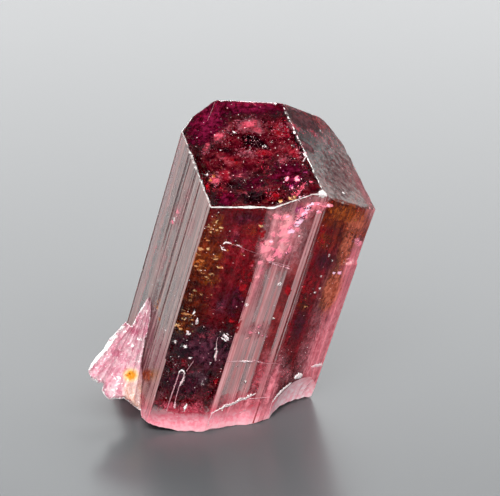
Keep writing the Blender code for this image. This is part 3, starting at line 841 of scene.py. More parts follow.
# --------------------------------------------------------------------------------------------------------------------
# Materials
# --------------------------------------------------------------------------------------------------------------------
class Nodes:
    """Short hands for building a node tree."""

    def __init__(self, mat):
        self.nt = mat.node_tree
        self.p = self.nt.nodes["Principled BSDF"]
        self.out = self.nt.nodes["Material Output"]

    def link(self, a, b):
        self.nt.links.new(a, b)
        return b

    def put(self, socket, value):
        if isinstance(value, (int, float, tuple, list)):
            socket.default_value = value
        else:
            self.nt.links.new(value, socket)

    def math(self, op, a, b=0.0, c=0.0, clamp=False):
        n = self.nt.nodes.new("ShaderNodeMath")
        n.operation = op
        n.use_clamp = clamp
        for s, v in zip(n.inputs, (a, b, c)):
            self.put(s, v)
        return n.outputs[0]

    def attr(self, name):
        n = self.nt.nodes.new("ShaderNodeAttribute")
        n.attribute_name = name
        return n.outputs["Fac"]

    def crystal(self, scale=(1, 1, 1)):
        """Position in the crystal's own frame, in mm, then scaled."""
        tc = self.nt.nodes.new("ShaderNodeTexCoord")
        m = self.nt.nodes.new("ShaderNodeMapping")
        m.inputs["Scale"].default_value = (1 / MM,) * 3
        m.inputs["Rotation"].default_value = Matrix(T.T).to_euler()
        m.inputs["Location"].default_value = tuple(-T.T @ SHIFT)
        self.link(tc.outputs["Object"], m.inputs["Vector"])
        if scale == (1, 1, 1):
            return m.outputs[0]
        k = self.nt.nodes.new("ShaderNodeVectorMath")
        k.operation = "MULTIPLY"
        self.link(m.outputs[0], k.inputs[0])
        k.inputs[1].default_value = scale
        return k.outputs[0]

    def noise(self, vector, scale=1.0, detail=2.0, rough=0.5, distortion=0.0, kind="FBM"):
        n = self.nt.nodes.new("ShaderNodeTexNoise")
        self.link(vector, n.inputs["Vector"])
        n.inputs["Scale"].default_value = scale
        n.inputs["Detail"].default_value = detail
        n.inputs["Roughness"].default_value = rough
        n.inputs["Distortion"].default_value = distortion
        return n.outputs["Fac"]

    def voronoi(self, vector, scale=1.0, feature="F1", out="Distance", randomness=1.0):
        n = self.nt.nodes.new("ShaderNodeTexVoronoi")
        n.feature = feature
        self.link(vector, n.inputs["Vector"])
        n.inputs["Scale"].default_value = scale
        n.inputs["Randomness"].default_value = randomness
        return n.outputs[out]

    def ramp(self, value, stops):
        n = self.nt.nodes.new("ShaderNodeValToRGB")
        self.link(value, n.inputs[0])
        e = n.color_ramp.elements
        while len(e) < len(stops):
            e.new(0.5)
        for el, (pos, col) in zip(e, stops):
            el.position = pos
            el.color = (*col, 1) if isinstance(col, tuple) else (col, col, col, 1)
        return n.outputs[0]

    def step(self, value, lo, hi, smooth=True):
        n = self.nt.nodes.new("ShaderNodeMapRange")
        n.interpolation_type = "SMOOTHSTEP" if smooth else "LINEAR"
        self.link(value, n.inputs[0])
        n.inputs[1].default_value = lo
        n.inputs[2].default_value = hi
        return n.outputs[0]

    def mix(self, fac, a, b):
        n = self.nt.nodes.new("ShaderNodeMix")
        n.data_type = "RGBA"
        self.put(n.inputs[0], fac)
        for s, v in ((n.inputs[6], a), (n.inputs[7], b)):
            self.put(s, (*v, 1) if isinstance(v, tuple) and len(v) == 3 else v)
        return n.outputs[2]

    def mixf(self, fac, a, b):
        n = self.nt.nodes.new("ShaderNodeMix")
        n.data_type = "FLOAT"
        self.put(n.inputs[0], fac)
        self.put(n.inputs[2], a)
        self.put(n.inputs[3], b)
        return n.outputs[0]

    def bump(self, height, distance_mm, strength=1.0, normal=None):
        n = self.nt.nodes.new("ShaderNodeBump")
        n.inputs["Strength"].default_value = strength
        n.inputs["Distance"].default_value = distance_mm * MM
        self.link(height, n.inputs["Height"])
        if normal is not None:
            self.link(normal, n.inputs["Normal"])
        return n.outputs[0]


def material(name):
    mat = bpy.data.materials.new(name)
    mat.use_nodes = True
    return mat, Nodes(mat)


def absorb(n, per_mm):
    """Plain absorption: per_mm is what each colour loses per millimetre (natural log)."""
    vol = n.nt.nodes.new("ShaderNodeVolumeAbsorption")
    top = max(per_mm)
    vol.inputs["Color"].default_value = (*[1 - v / top for v in per_mm], 1)
    vol.inputs["Density"].default_value = top / MM
    n.link(vol.outputs[0], n.out.inputs["Volume"])


def tourmaline_material():
    mat, n = material("tourmaline_clear")
    p = n.p.inputs
    frost_and_sheen, broken, edge, blush = n.attr("frost_and_sheen"), n.attr("broken"), n.attr("edge"), n.attr("blush")
    here = n.crystal()
    sep_c = n.nt.nodes.new("ShaderNodeSeparateXYZ")
    n.link(here, sep_c.inputs[0])
    # c-parallel growth striations: what the frosting with its painted sheen, the tint and the bump all follow
    fine = n.noise(n.crystal((9, 9, 0.16)), detail=3, rough=0.6)
    wide = n.noise(n.crystal((2.6, 2.6, 0.07)), detail=2, rough=0.5)
    cloud = n.noise(here, scale=0.8, detail=3)
    streak = n.math("ADD", 0.22, n.math("MULTIPLY_ADD", n.step(fine, 0.30, 0.70), 0.42, n.math("MULTIPLY", n.step(wide, 0.32, 0.68), 0.46)))
    frosted_sheen = n.math("MULTIPLY", frost_and_sheen, n.math("MULTIPLY", streak, n.math("MULTIPLY_ADD", cloud, 0.8, 0.75)))
    above = n.math("SUBTRACT", n.math("MULTIPLY_ADD", cloud, 0.25, sep_c.outputs["Z"]), n.attr("clear_above"))
    frosted_sheen = n.math("MULTIPLY", frosted_sheen, n.math("MULTIPLY_ADD", n.step(above, 0.0, 0.35), -0.30, 1.0))
    frosted_sheen = n.math("MINIMUM", frosted_sheen, 0.80)
    # the broken foot, and the worn edges with their painted white highlight
    grain = n.noise(here, scale=3.4, detail=5, rough=0.65)
    tc = n.nt.nodes.new("ShaderNodeTexCoord")
    sep = n.nt.nodes.new("ShaderNodeSeparateXYZ")
    n.link(tc.outputs["Object"], sep.inputs[0])
    height = n.math("DIVIDE", sep.outputs["Z"], MM)
    ragged = n.math("MULTIPLY_ADD", n.math("SUBTRACT", cloud, 0.5), -0.9, height)
    foot = n.math("MULTIPLY", n.step(ragged, 2.55, 0.45), 0.92)
    nick = n.noise(here, scale=2.6, detail=3, rough=0.7)
    worn_and_highlight = n.step(n.math("MULTIPLY_ADD", n.math("SUBTRACT", nick, 0.5), 1.4, edge), 0.24, 0.74)
    worn_and_highlight = n.math("MULTIPLY", worn_and_highlight, n.step(edge, 0.02, 0.15))
    broken_mask = n.math("MULTIPLY_ADD", n.math("MULTIPLY", broken, n.step(grain, 0.30, 0.62)), 0.27, n.math("MULTIPLY", broken, 0.70))
    opaque = n.math("MAXIMUM", n.math("MAXIMUM", frosted_sheen, foot), n.math("MAXIMUM", n.math("MULTIPLY", worn_and_highlight, 0.74), broken_mask), clamp=True)
    garnet = n.math("MULTIPLY", n.attr("garnet"), n.math("MULTIPLY_ADD", n.step(fine, 0.30, 0.70), 0.22, 0.20))
    opaque = n.math("MAXIMUM", opaque, garnet, clamp=True)
    # bright patches, many of them painted glints, sparkles, reflected light and shade: each kind is broken up by its
    # own noise
    crumb = n.noise(n.crystal((1, 1, 0.7)), scale=3.6, detail=3, rough=0.6, distortion=0.6)
    speck = n.noise(n.crystal((1, 1, 0.8)), scale=9.5, detail=3, rough=0.7, distortion=0.4)
    # angular chips: every cell has its own chance of being lit
    parts = []
    for vector, scale in ((n.crystal((0.9, 0.9, 1.0)), 3.0), (n.crystal((0.55, 0.55, 1.0)), 6.4), (here, 3.6)):
        pick = n.nt.nodes.new("ShaderNodeSeparateXYZ")
        n.link(n.voronoi(vector, scale=scale, out="Color"), pick.inputs[0])
        parts.append(pick.outputs)
    chance = {"rosy": parts[0][0], "cherry": parts[0][1], "gold": parts[1][0], "painted_glint": parts[1][1]}
    shade_of = {"rosy": parts[0][2], "cherry": parts[0][2], "gold": parts[1][2], "painted_glint": parts[1][2]}
    # painted sparkles: single bright points, one in some of the cells
    sparkle_dots = n.math("MULTIPLY", n.step(n.voronoi(here, scale=3.6), 0.17, 0.08), n.step(n.math("ADD", parts[2][0], n.attr("glow_sparkle_glint")), 0.98, 1.03))
    sparkle_dots = n.math("MULTIPLY", sparkle_dots, n.step(n.attr("glow_sparkle_glint"), 0.02, 0.08))
    glows, lit = {}, None
    for kind, push, finer, lo, hi, limit in (
        ("haze", 0.5, 0.2, 0.05, 1.05, 0.46), ("violet", 1.0, 0.4, 0.10, 0.95, 0.40), ("wine", 1.0, 0.6, 0.15, 0.85, 0.55), ("blush", 0.6, 0.3, 0.05, 0.95, 0.92), ("mauve", 0.6, 0.3, 0.05, 1.05, 0.62), ("magenta", 1.2, 0.8, 0.40, 0.95, 0.70), ("salmon", 0.9, 0.3, 0.15, 1.05, 0.66),
        ("rust", 1.0, 0.15, 0.10, 1.05, 0.56), ("cherry", 0.9, 0.9, 0.46, 0.86, 0.55), ("bloom", 1.2, 1.0, 0.34, 0.92, 0.60),
        ("rosy", 0.50, 0.60, 0.27, 0.58, 0.90), ("gold", 1.2, 0.9, 0.66, 0.92, 0.80), ("painted_glint", 0.35, 0.2, 0.38, 0.56, 0.98),
        ("white_and_glint", 0.9, 1.3, 0.36, 0.62, 0.95), ("stain_and_reflection", 0.5, 0.6, 0.15, 0.95, 0.72), ("shade", 0.9, 0.5, 0.15, 0.95, 0.42), ("ochre", 1.3, 0.15, 0.20, 1.05, 0.60),
    ):
        mark = n.attr("glow_" + kind)
        m = n.math("MULTIPLY_ADD", n.math("SUBTRACT", speck, 0.5), finer, n.math("MULTIPLY_ADD", n.math("SUBTRACT", chance.get(kind, crumb), 0.5), push, mark))
        m = n.step(m, lo, hi)
        if kind in ("rust", "ochre", "mauve", "haze", "blush"):
            m = n.math("MULTIPLY", m, n.math("MULTIPLY_ADD", n.step(wide, 0.36, 0.64), 0.45, 0.60))
        glows[kind] = n.math("MULTIPLY", n.math("MULTIPLY", m, n.step(mark, 0.02, 0.20)), limit)
        lit = glows[kind] if lit is None else n.math("MAXIMUM", lit, glows[kind])
    lit = n.math("MAXIMUM", lit, n.math("MULTIPLY", sparkle_dots, 0.92))
    opaque = n.math("MAXIMUM", opaque, lit, clamp=True)
    n.put(p["Transmission Weight"], n.math("SUBTRACT", 1.0, opaque))
    # the grey of the frosted faces is a painted sheen of reflected light
    sheen_grey = n.mix(n.step(wide, 0.40, 0.62), (0.49, 0.405, 0.38), (0.44, 0.31, 0.29))
    rose = n.mix(n.step(fine, 0.35, 0.65), (0.95, 0.24, 0.26), (1.0, 0.46, 0.50))
    low = n.step(sep_c.outputs["Z"], 7.0, 0.0)
    rosy = n.math("MAXIMUM", blush, n.math("MULTIPLY", low, 0.35))
    col = n.mix(rosy, sheen_grey, rose)
    pink = n.mix(n.step(grain, 0.35, 0.65), (0.98, 0.24, 0.32), (1.0, 0.44, 0.51))
    pink = n.mix(n.step(foot, 0.60, 0.05), pink, (0.85, 0.085, 0.14))
    pink = n.mix(n.math("MULTIPLY", n.step(height, 0.75, 0.05), 0.55), pink, (1.0, 0.62, 0.66))
    col = n.mix(n.math("MULTIPLY", foot, 3.5, clamp=True), col, pink)
    scar = n.math("MULTIPLY_ADD", n.math("SUBTRACT", wide, 0.5), 1.4, fine)
    col = n.mix(broken, col, n.mix(n.step(n.math("MULTIPLY_ADD", scar, 0.18, n.math("MULTIPLY", grain, 0.82)), 0.36, 0.62), (1.0, 0.42, 0.50), (1.0, 0.76, 0.80)))
    col = n.mix(n.math("MULTIPLY", garnet, 5.0, clamp=True), col, n.mix(n.step(cloud, 0.40, 0.60), (0.30, 0.030, 0.036), (0.50, 0.075, 0.080)))
    # dark and light colour of each patch kind; the pale glint kinds are painted highlights, the shade kind painted
    # shade and the stain kind on the left face a painted reflection
    for kind, dark, light in (
        ("haze", (0.22, 0.003, 0.010), (0.54, 0.013, 0.030)), ("violet", (0.07, 0.010, 0.032), (0.28, 0.070, 0.125)), ("blush", (0.80, 0.16, 0.21), (1.0, 0.32, 0.38)), ("mauve", (0.52, 0.21, 0.23), (0.72, 0.33, 0.35)), ("shade", (0.20, 0.060, 0.080), (0.36, 0.15, 0.17)), ("wine", (0.075, 0.003, 0.012), (0.23, 0.010, 0.050)), ("rust", (0.15, 0.009, 0.003), (0.40, 0.045, 0.008)), ("cherry", (0.20, 0.002, 0.006), (0.60, 0.010, 0.020)),
        ("bloom", (0.40, 0.020, 0.050), (0.92, 0.17, 0.24)), ("salmon", (0.42, 0.070, 0.030), (0.86, 0.21, 0.12)), ("magenta", (0.34, 0.010, 0.12), (0.85, 0.12, 0.40)), ("rosy", (1.0, 0.21, 0.33), (1.0, 0.42, 0.43)),
        ("ochre", (0.26, 0.034, 0.004), (0.56, 0.115, 0.014)), ("gold", (0.46, 0.085, 0.008), (1.0, 0.70, 0.36)), ("painted_glint", (1.0, 0.40, 0.62), (1.0, 0.80, 0.92)),
        ("white_and_glint", (1.0, 0.80, 0.80), (1.0, 0.95, 0.94)), ("stain_and_reflection", (0.24, 0.028, 0.010), (0.42, 0.080, 0.026)),
    ):
        share = n.math("DIVIDE", n.math("MULTIPLY", glows[kind], 1.2), n.math("MAXIMUM", opaque, 0.002), clamp=True)
        tone = n.step(speck if kind in ("bloom", "white_and_glint", "magenta") else crumb, 0.34, 0.66)
        if kind in shade_of:
            tone = n.math("MULTIPLY_ADD", shade_of[kind], 0.65, n.math("MULTIPLY", tone, 0.35))
        if kind == "gold":
            tone = n.math("POWER", tone, 1.7)
        col = n.mix(share, col, n.mix(tone, dark, light))
    col = n.mix(sparkle_dots, col, n.mix(parts[2][1], (1.0, 0.42, 0.46), (1.0, 0.96, 0.94)))
    # worn edges painted pale grey to white: wear with a painted highlight
    col = n.mix(worn_and_highlight, col, n.mix(n.step(nick, 0.35, 0.65), (0.50, 0.47, 0.45), (0.88, 0.85, 0.82)))
    tint = n.mix(n.math("MAXIMUM", n.math("MULTIPLY", opaque, 2.0), n.math("MULTIPLY", n.math("MAXIMUM", lit, garnet), 20.0), clamp=True), (1, 1, 1), col)
    n.put(p["Base Color"], tint)
    n.put(p["Roughness"], n.mixf(n.math("MAXIMUM", n.math("MAXIMUM", broken, worn_and_highlight), n.math("MULTIPLY", frosted_sheen, 0.8)), 0.0, 0.32))
    p["IOR"].default_value = 1.63
    b = n.bump(fine, 0.006, 0.5)
    b = n.bump(grain, 0.006, 0.10, b)
    n.put(p["Normal"], b)
    absorb(n, (0.012, 0.150, 0.115))
    return mat


main.data.materials.clear()
main.data.materials.append(tourmaline_material())
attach(main, "root")
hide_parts("tourmaline_crystal")


# --------------------------------------------------------------------------------------------------------------------
# What is sealed in the crystal: healed fractures (clouds of small flakes) and cracks
# --------------------------------------------------------------------------------------------------------------------
INDEX = 1.63

PANES = {n: (T @ PRISM_N[i], to_row(PRISM_N[i] * PRISM_D[i])) for i, n in enumerate(NAMES)}
for i in range(3):
    PANES["cap%d" % (i + 1)] = (T @ CAP_N[i], to_row(CAP_N[i] * CAP_D[i]))


def look_in(pane, px, depth):
    """Points inside the crystal that show at frame positions px, depth mm along the bent line of sight from a face."""
    px = np.atleast_2d(px).astype(float)
    normal, at = PANES[pane]
    x, y = (px[:, 0] - 250) / FOCAL, (px[:, 1] - 248) / FOCAL
    ray = np.column_stack(
        [x, math.cos(PITCH) - y * math.sin(PITCH), -math.sin(PITCH) - y * math.cos(PITCH)]
    )
    ray /= np.linalg.norm(ray, axis=1)[:, None]
    t = ((at - EYE) @ normal) / (ray @ normal)
    hit = EYE + ray * t[:, None]
    c = -(ray @ normal)
    k = np.sqrt(1 - (1 - c * c) / INDEX**2)
    bent = ray / INDEX + (c / INDEX - k)[:, None] * normal
    return hit + bent * np.reshape(depth, (-1, 1))


LIT_BY = {"cap1": (38, 63), "cap2": (38, 63), "left_front": (-58, 22)}


def bend(direction, normal):
    """Direction inside the crystal of light that goes along direction outside it, away from the face or onto it."""
    c = direction @ normal
    side = (direction - c * normal) / INDEX
    return side + math.copysign(math.sqrt(1 - side @ side), c) * normal


def glint(pane):
    """The tilt of a flake that sends a panel's light to the camera through a face."""
    normal = PANES[pane][0]
    az, el = LIT_BY.get(pane, (172, 62))
    a, e = math.radians(az), math.radians(el)
    to_light = np.array([math.sin(a) * math.cos(e), math.cos(a) * math.cos(e), math.sin(e)])
    to_eye = EYE - PANES[pane][1]
    half = bend(to_light, normal) + bend(to_eye / np.linalg.norm(to_eye), normal)
    return half / np.linalg.norm(half)


def clearance(p_row):
    """How far inside the crystal a point is (mm)."""
    p_row = np.asarray(p_row, float)
    p = to_crystal(p_row)
    d = np.concatenate([PRISM_D - p @ PRISM_N.T, CAP_D - p @ CAP_N.T], axis=1)
    out = np.minimum(d.min(1), p_row[:, 2] - 0.05)
    out = np.minimum(out, np.linalg.norm(p_row - SHIFT - np.array(CHIP[0]), axis=1) - CHIP[1] - 0.06)
    for point, normal in CORNER_BREAKS:
        n = np.array(normal) / np.linalg.norm(normal)
        out = np.minimum(out, -((p_row - SHIFT - np.array(point)) @ n) - 0.08)
    return out


def fast_mesh(name, verts, tris, layers=None, domain="FACE"):
    mesh = bpy.data.meshes.new(name)
    mesh.vertices.add(len(verts))
    mesh.vertices.foreach_set("co", (np.asarray(verts) * MM).astype(np.float32).ravel())
    mesh.loops.add(len(tris) * 3)
    mesh.loops.foreach_set("vertex_index", np.asarray(tris, np.int32).ravel())
    mesh.polygons.add(len(tris))
    mesh.polygons.foreach_set("loop_start", np.arange(0, len(tris) * 3, 3, dtype=np.int32))
    mesh.update(calc_edges=True)
    mesh.validate()
    for key, values in (layers or {}).items():
        layer = mesh.attributes.new(key, "FLOAT", domain)
        layer.data.foreach_set("value", np.asarray(values, np.float32))
    obj = bpy.data.objects.new(name, mesh)
    bpy.context.scene.collection.objects.link(obj)
    return obj


def swirl(p, seed, scale=0.9):
    """Smooth random 3-vectors through space, about -1..1."""
    rng = np.random.default_rng(seed)
    out = np.zeros((len(p), 3))
    for axis in range(3):
        for k in range(7):
            d = rng.normal(size=3)
            d *= scale * (0.8 + 0.55 * k) / np.linalg.norm(d)
            out[:, axis] += np.sin(np.asarray(p) @ d * 2.2 + rng.uniform(0, 6.28)) / (1 + 0.35 * k)
    return out / 2.6


class Flakes:
    """Collects thin closed flakes and makes one mesh of them."""

    def __init__(self, name, seed):
        self.name, self.rng = name, np.random.default_rng(seed)
        self.at, self.size, self.normal, self.hue, self.flash, self.stretch, self.along = [], [], [], [], [], [], []

    def add(self, at, size, normal, hue, flash, stretch=1.6, along=None):
        n = len(at)
        if along is None:
            self.along.append(self.rng.normal(size=(n, 3)))
        else:
            across_view = along[0] * np.array([1.0, 0, 0]) + along[1] * np.array([0, -math.sin(PITCH), -math.cos(PITCH)])
            self.along.append(np.cross(across_view, normal) + self.rng.normal(0, 0.12, (n, 3)))
        self.at.append(at)
        self.size.append(np.broadcast_to(size, n))
        self.normal.append(np.broadcast_to(normal, (n, 3)))
        self.hue.append(np.broadcast_to(hue, n))
        self.flash.append(np.broadcast_to(flash, n))
        self.stretch.append(np.broadcast_to(stretch, n))

    def cloud(self, pane, centre, spread, turn, depth, count, size, hue, flash, tilt=10.0, wave=26.0, clump=None, hard=False, stretch=1.6, margin=0.06, power=1.5, lit=0.0, along=None):
        """Flakes that show in an ellipse of the frame: centre and spread in pixels, depth in mm, size in mm."""
        rng = self.rng
        if hard:
            r, a = np.sqrt(rng.uniform(0, 1, count)), rng.uniform(0, 2 * np.pi, count)
            q = np.column_stack([r * np.cos(a), r * np.sin(a)])
        else:
            q = rng.normal(0, 0.55, (count, 2))
        q = q * spread
        c, s_ = math.cos(math.radians(turn)), math.sin(math.radians(turn))
        q = np.column_stack([q[:, 0] * c - q[:, 1] * s_, q[:, 0] * s_ + q[:, 1] * c]) + centre
        at = look_in(pane, q, rng.uniform(depth[0], depth[1], count))
        keep = clearance(at) > margin
        if clump is not None:
            keep &= swirl(at, 900 + clump[0], clump[1])[:, 0] > clump[2]
        at = at[keep]
        n = len(at)
        base = PANES[pane][0] * (1 - lit) + glint(pane) * lit
        aim = base / np.linalg.norm(base) + swirl(at, 70, 1.3) * math.tan(math.radians(wave))
        aim = aim + rng.normal(0, math.tan(math.radians(tilt)), (n, 3))
        aim /= np.linalg.norm(aim, axis=1)[:, None]
        big = size[0] * (size[1] / size[0]) ** rng.uniform(0, 1, n) ** power
        lean_out = np.sqrt(np.clip(1 - (aim @ PANES[pane][0]) ** 2, 0, 1))
        short = 0.02 + 0.62 * big * lean_out * math.sqrt(stretch) - clearance(at)
        at = at - PANES[pane][0] * np.clip(short, 0, 0.5)[:, None]
        self.add(at, big, aim, rng.uniform(hue[0], hue[1], n), rng.uniform(flash[0], flash[1], n), stretch, along)

    def trail(self, pane, path, depth, step, size, hue, flash, jitter=0.3):
        """Flakes along a line of the frame, such as a hair crack."""
        rng = self.rng
        path = np.array(path, float)
        seg = np.linalg.norm(np.diff(path, axis=0), axis=1)
        run = np.concatenate([[0], np.cumsum(seg)])
        t = np.arange(0, run[-1], step) + rng.uniform(-0.4, 0.4, len(np.arange(0, run[-1], step))) * step
        q = np.column_stack([np.interp(t, run, path[:, 0]), np.interp(t, run, path[:, 1])])
        q = q + rng.normal(0, jitter, q.shape)
        at = look_in(pane, q, rng.uniform(depth[0], depth[1], len(q)))
        at = at[clearance(at) > 0.02 + size[1] * 0.2]
        aim = PANES[pane][0] + rng.normal(0, 0.45, (len(at), 3))
        aim /= np.linalg.norm(aim, axis=1)[:, None]
        n = len(at)
        self.add(at, rng.uniform(size[0], size[1], n), aim, rng.uniform(hue[0], hue[1], n), rng.uniform(flash[0], flash[1], n), 1.4)

    def build(self):
        rng = self.rng
        at, size, normal = np.concatenate(self.at), np.concatenate(self.size), np.concatenate(self.normal)
        hue, flash, stretch = np.concatenate(self.hue), np.concatenate(self.flash), np.concatenate(self.stretch)
        n, k = len(at), 7
        u = np.cross(normal, np.concatenate(self.along))
        u /= np.linalg.norm(u, axis=1)[:, None]
        v = np.cross(normal, u)
        ang = np.arange(k) * 2 * np.pi / k + rng.uniform(-0.4, 0.4, (n, k))
        rad = size[:, None] * 0.5 * rng.uniform(0.45, 1.3, (n, k))
        w = np.sqrt(stretch)[:, None]
        ring = at[:, None] + (rad * np.cos(ang) * w)[..., None] * u[:, None] + (rad * np.sin(ang) / w)[..., None] * v[:, None]
        inside = clearance(ring.reshape(-1, 3)).reshape(n, k).min(1) > 0.015
        ring, at, size, normal, hue, flash = ring[inside], at[inside], size[inside], normal[inside], hue[inside], flash[inside]
        n = len(at)
        lift = (size * 0.016)[:, None] * normal
        verts = np.concatenate([ring, (at + lift)[:, None], (at - lift)[:, None]], axis=1).reshape(-1, 3)
        i = np.arange(k)
        j = (i + 1) % k
        # u, v, -normal is right-handed here, so the upper fan runs the other way round
        up = np.column_stack([j, i, np.full(k, k)])
        down = np.column_stack([i, j, np.full(k, k + 1)])
        one = np.concatenate([up, down])
        tris = (one[None] + (np.arange(n) * (k + 2))[:, None, None]).reshape(-1, 3)
        per = 2 * k
        obj = fast_mesh(self.name, verts, tris, {"hue": np.repeat(hue, per), "flash": np.repeat(flash, per)})
        print(self.name, "flakes", n, "triangles", len(tris))
        return obj


def flake_material(name, stops):
    """Thin flakes: hue picks the tint and flash runs from a dull veil to a bright pearly film."""
    mat, n = material(name)
    p = n.p.inputs
    hue, flash = n.attr("hue"), n.attr("flash")
    grain = n.noise(n.crystal(), scale=14.0, detail=2)
    tint = n.ramp(n.math("MULTIPLY_ADD", n.math("SUBTRACT", grain, 0.5), 0.12, hue), stops)
    n.put(p["Base Color"], tint)
    n.put(p["Metallic"], n.step(flash, 0.15, 0.45))
    n.put(p["Roughness"], n.mixf(flash, 0.50, 0.10))
    p["IOR"].default_value = 1.5
    return mat


HUES = [
    (0.00, (0.010, 0.003, 0.010)),
    (0.08, (0.16, 0.10, 0.20)),
    (0.14, (0.28, 0.012, 0.07)),
    (0.24, (0.85, 0.02, 0.12)),
    (0.34, (1.00, 0.10, 0.16)),
    (0.46, (1.00, 0.34, 0.50)),
    (0.60, (1.00, 0.72, 0.76)),
    (0.72, (1.00, 0.95, 0.92)),
    (0.80, (1.00, 0.80, 0.55)),
    (0.90, (1.00, 0.42, 0.10)),
    (1.00, (0.55, 0.16, 0.03)),
]
veil_mat = flake_material("healed_fracture", HUES)


def finish_flakes(flakes):
    obj = flakes.build()
    obj.data.materials.append(veil_mat)
    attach(obj, "root")
    return obj


LEANING = 15.7  # the long direction of the faces in the frame, degrees

# The colour zones: the core is deep red and the rim, the right side and the foot are pale pink
INSET = {
    "left_front": 0.9, "front": 0.60, "right_front": 0.8, "right_upper": 0.60, "right": 1.3,
    "right_back": 1.9, "back_right": 1.4, "back": 1.0, "left_back": 1.0, "left": 1.1,
}


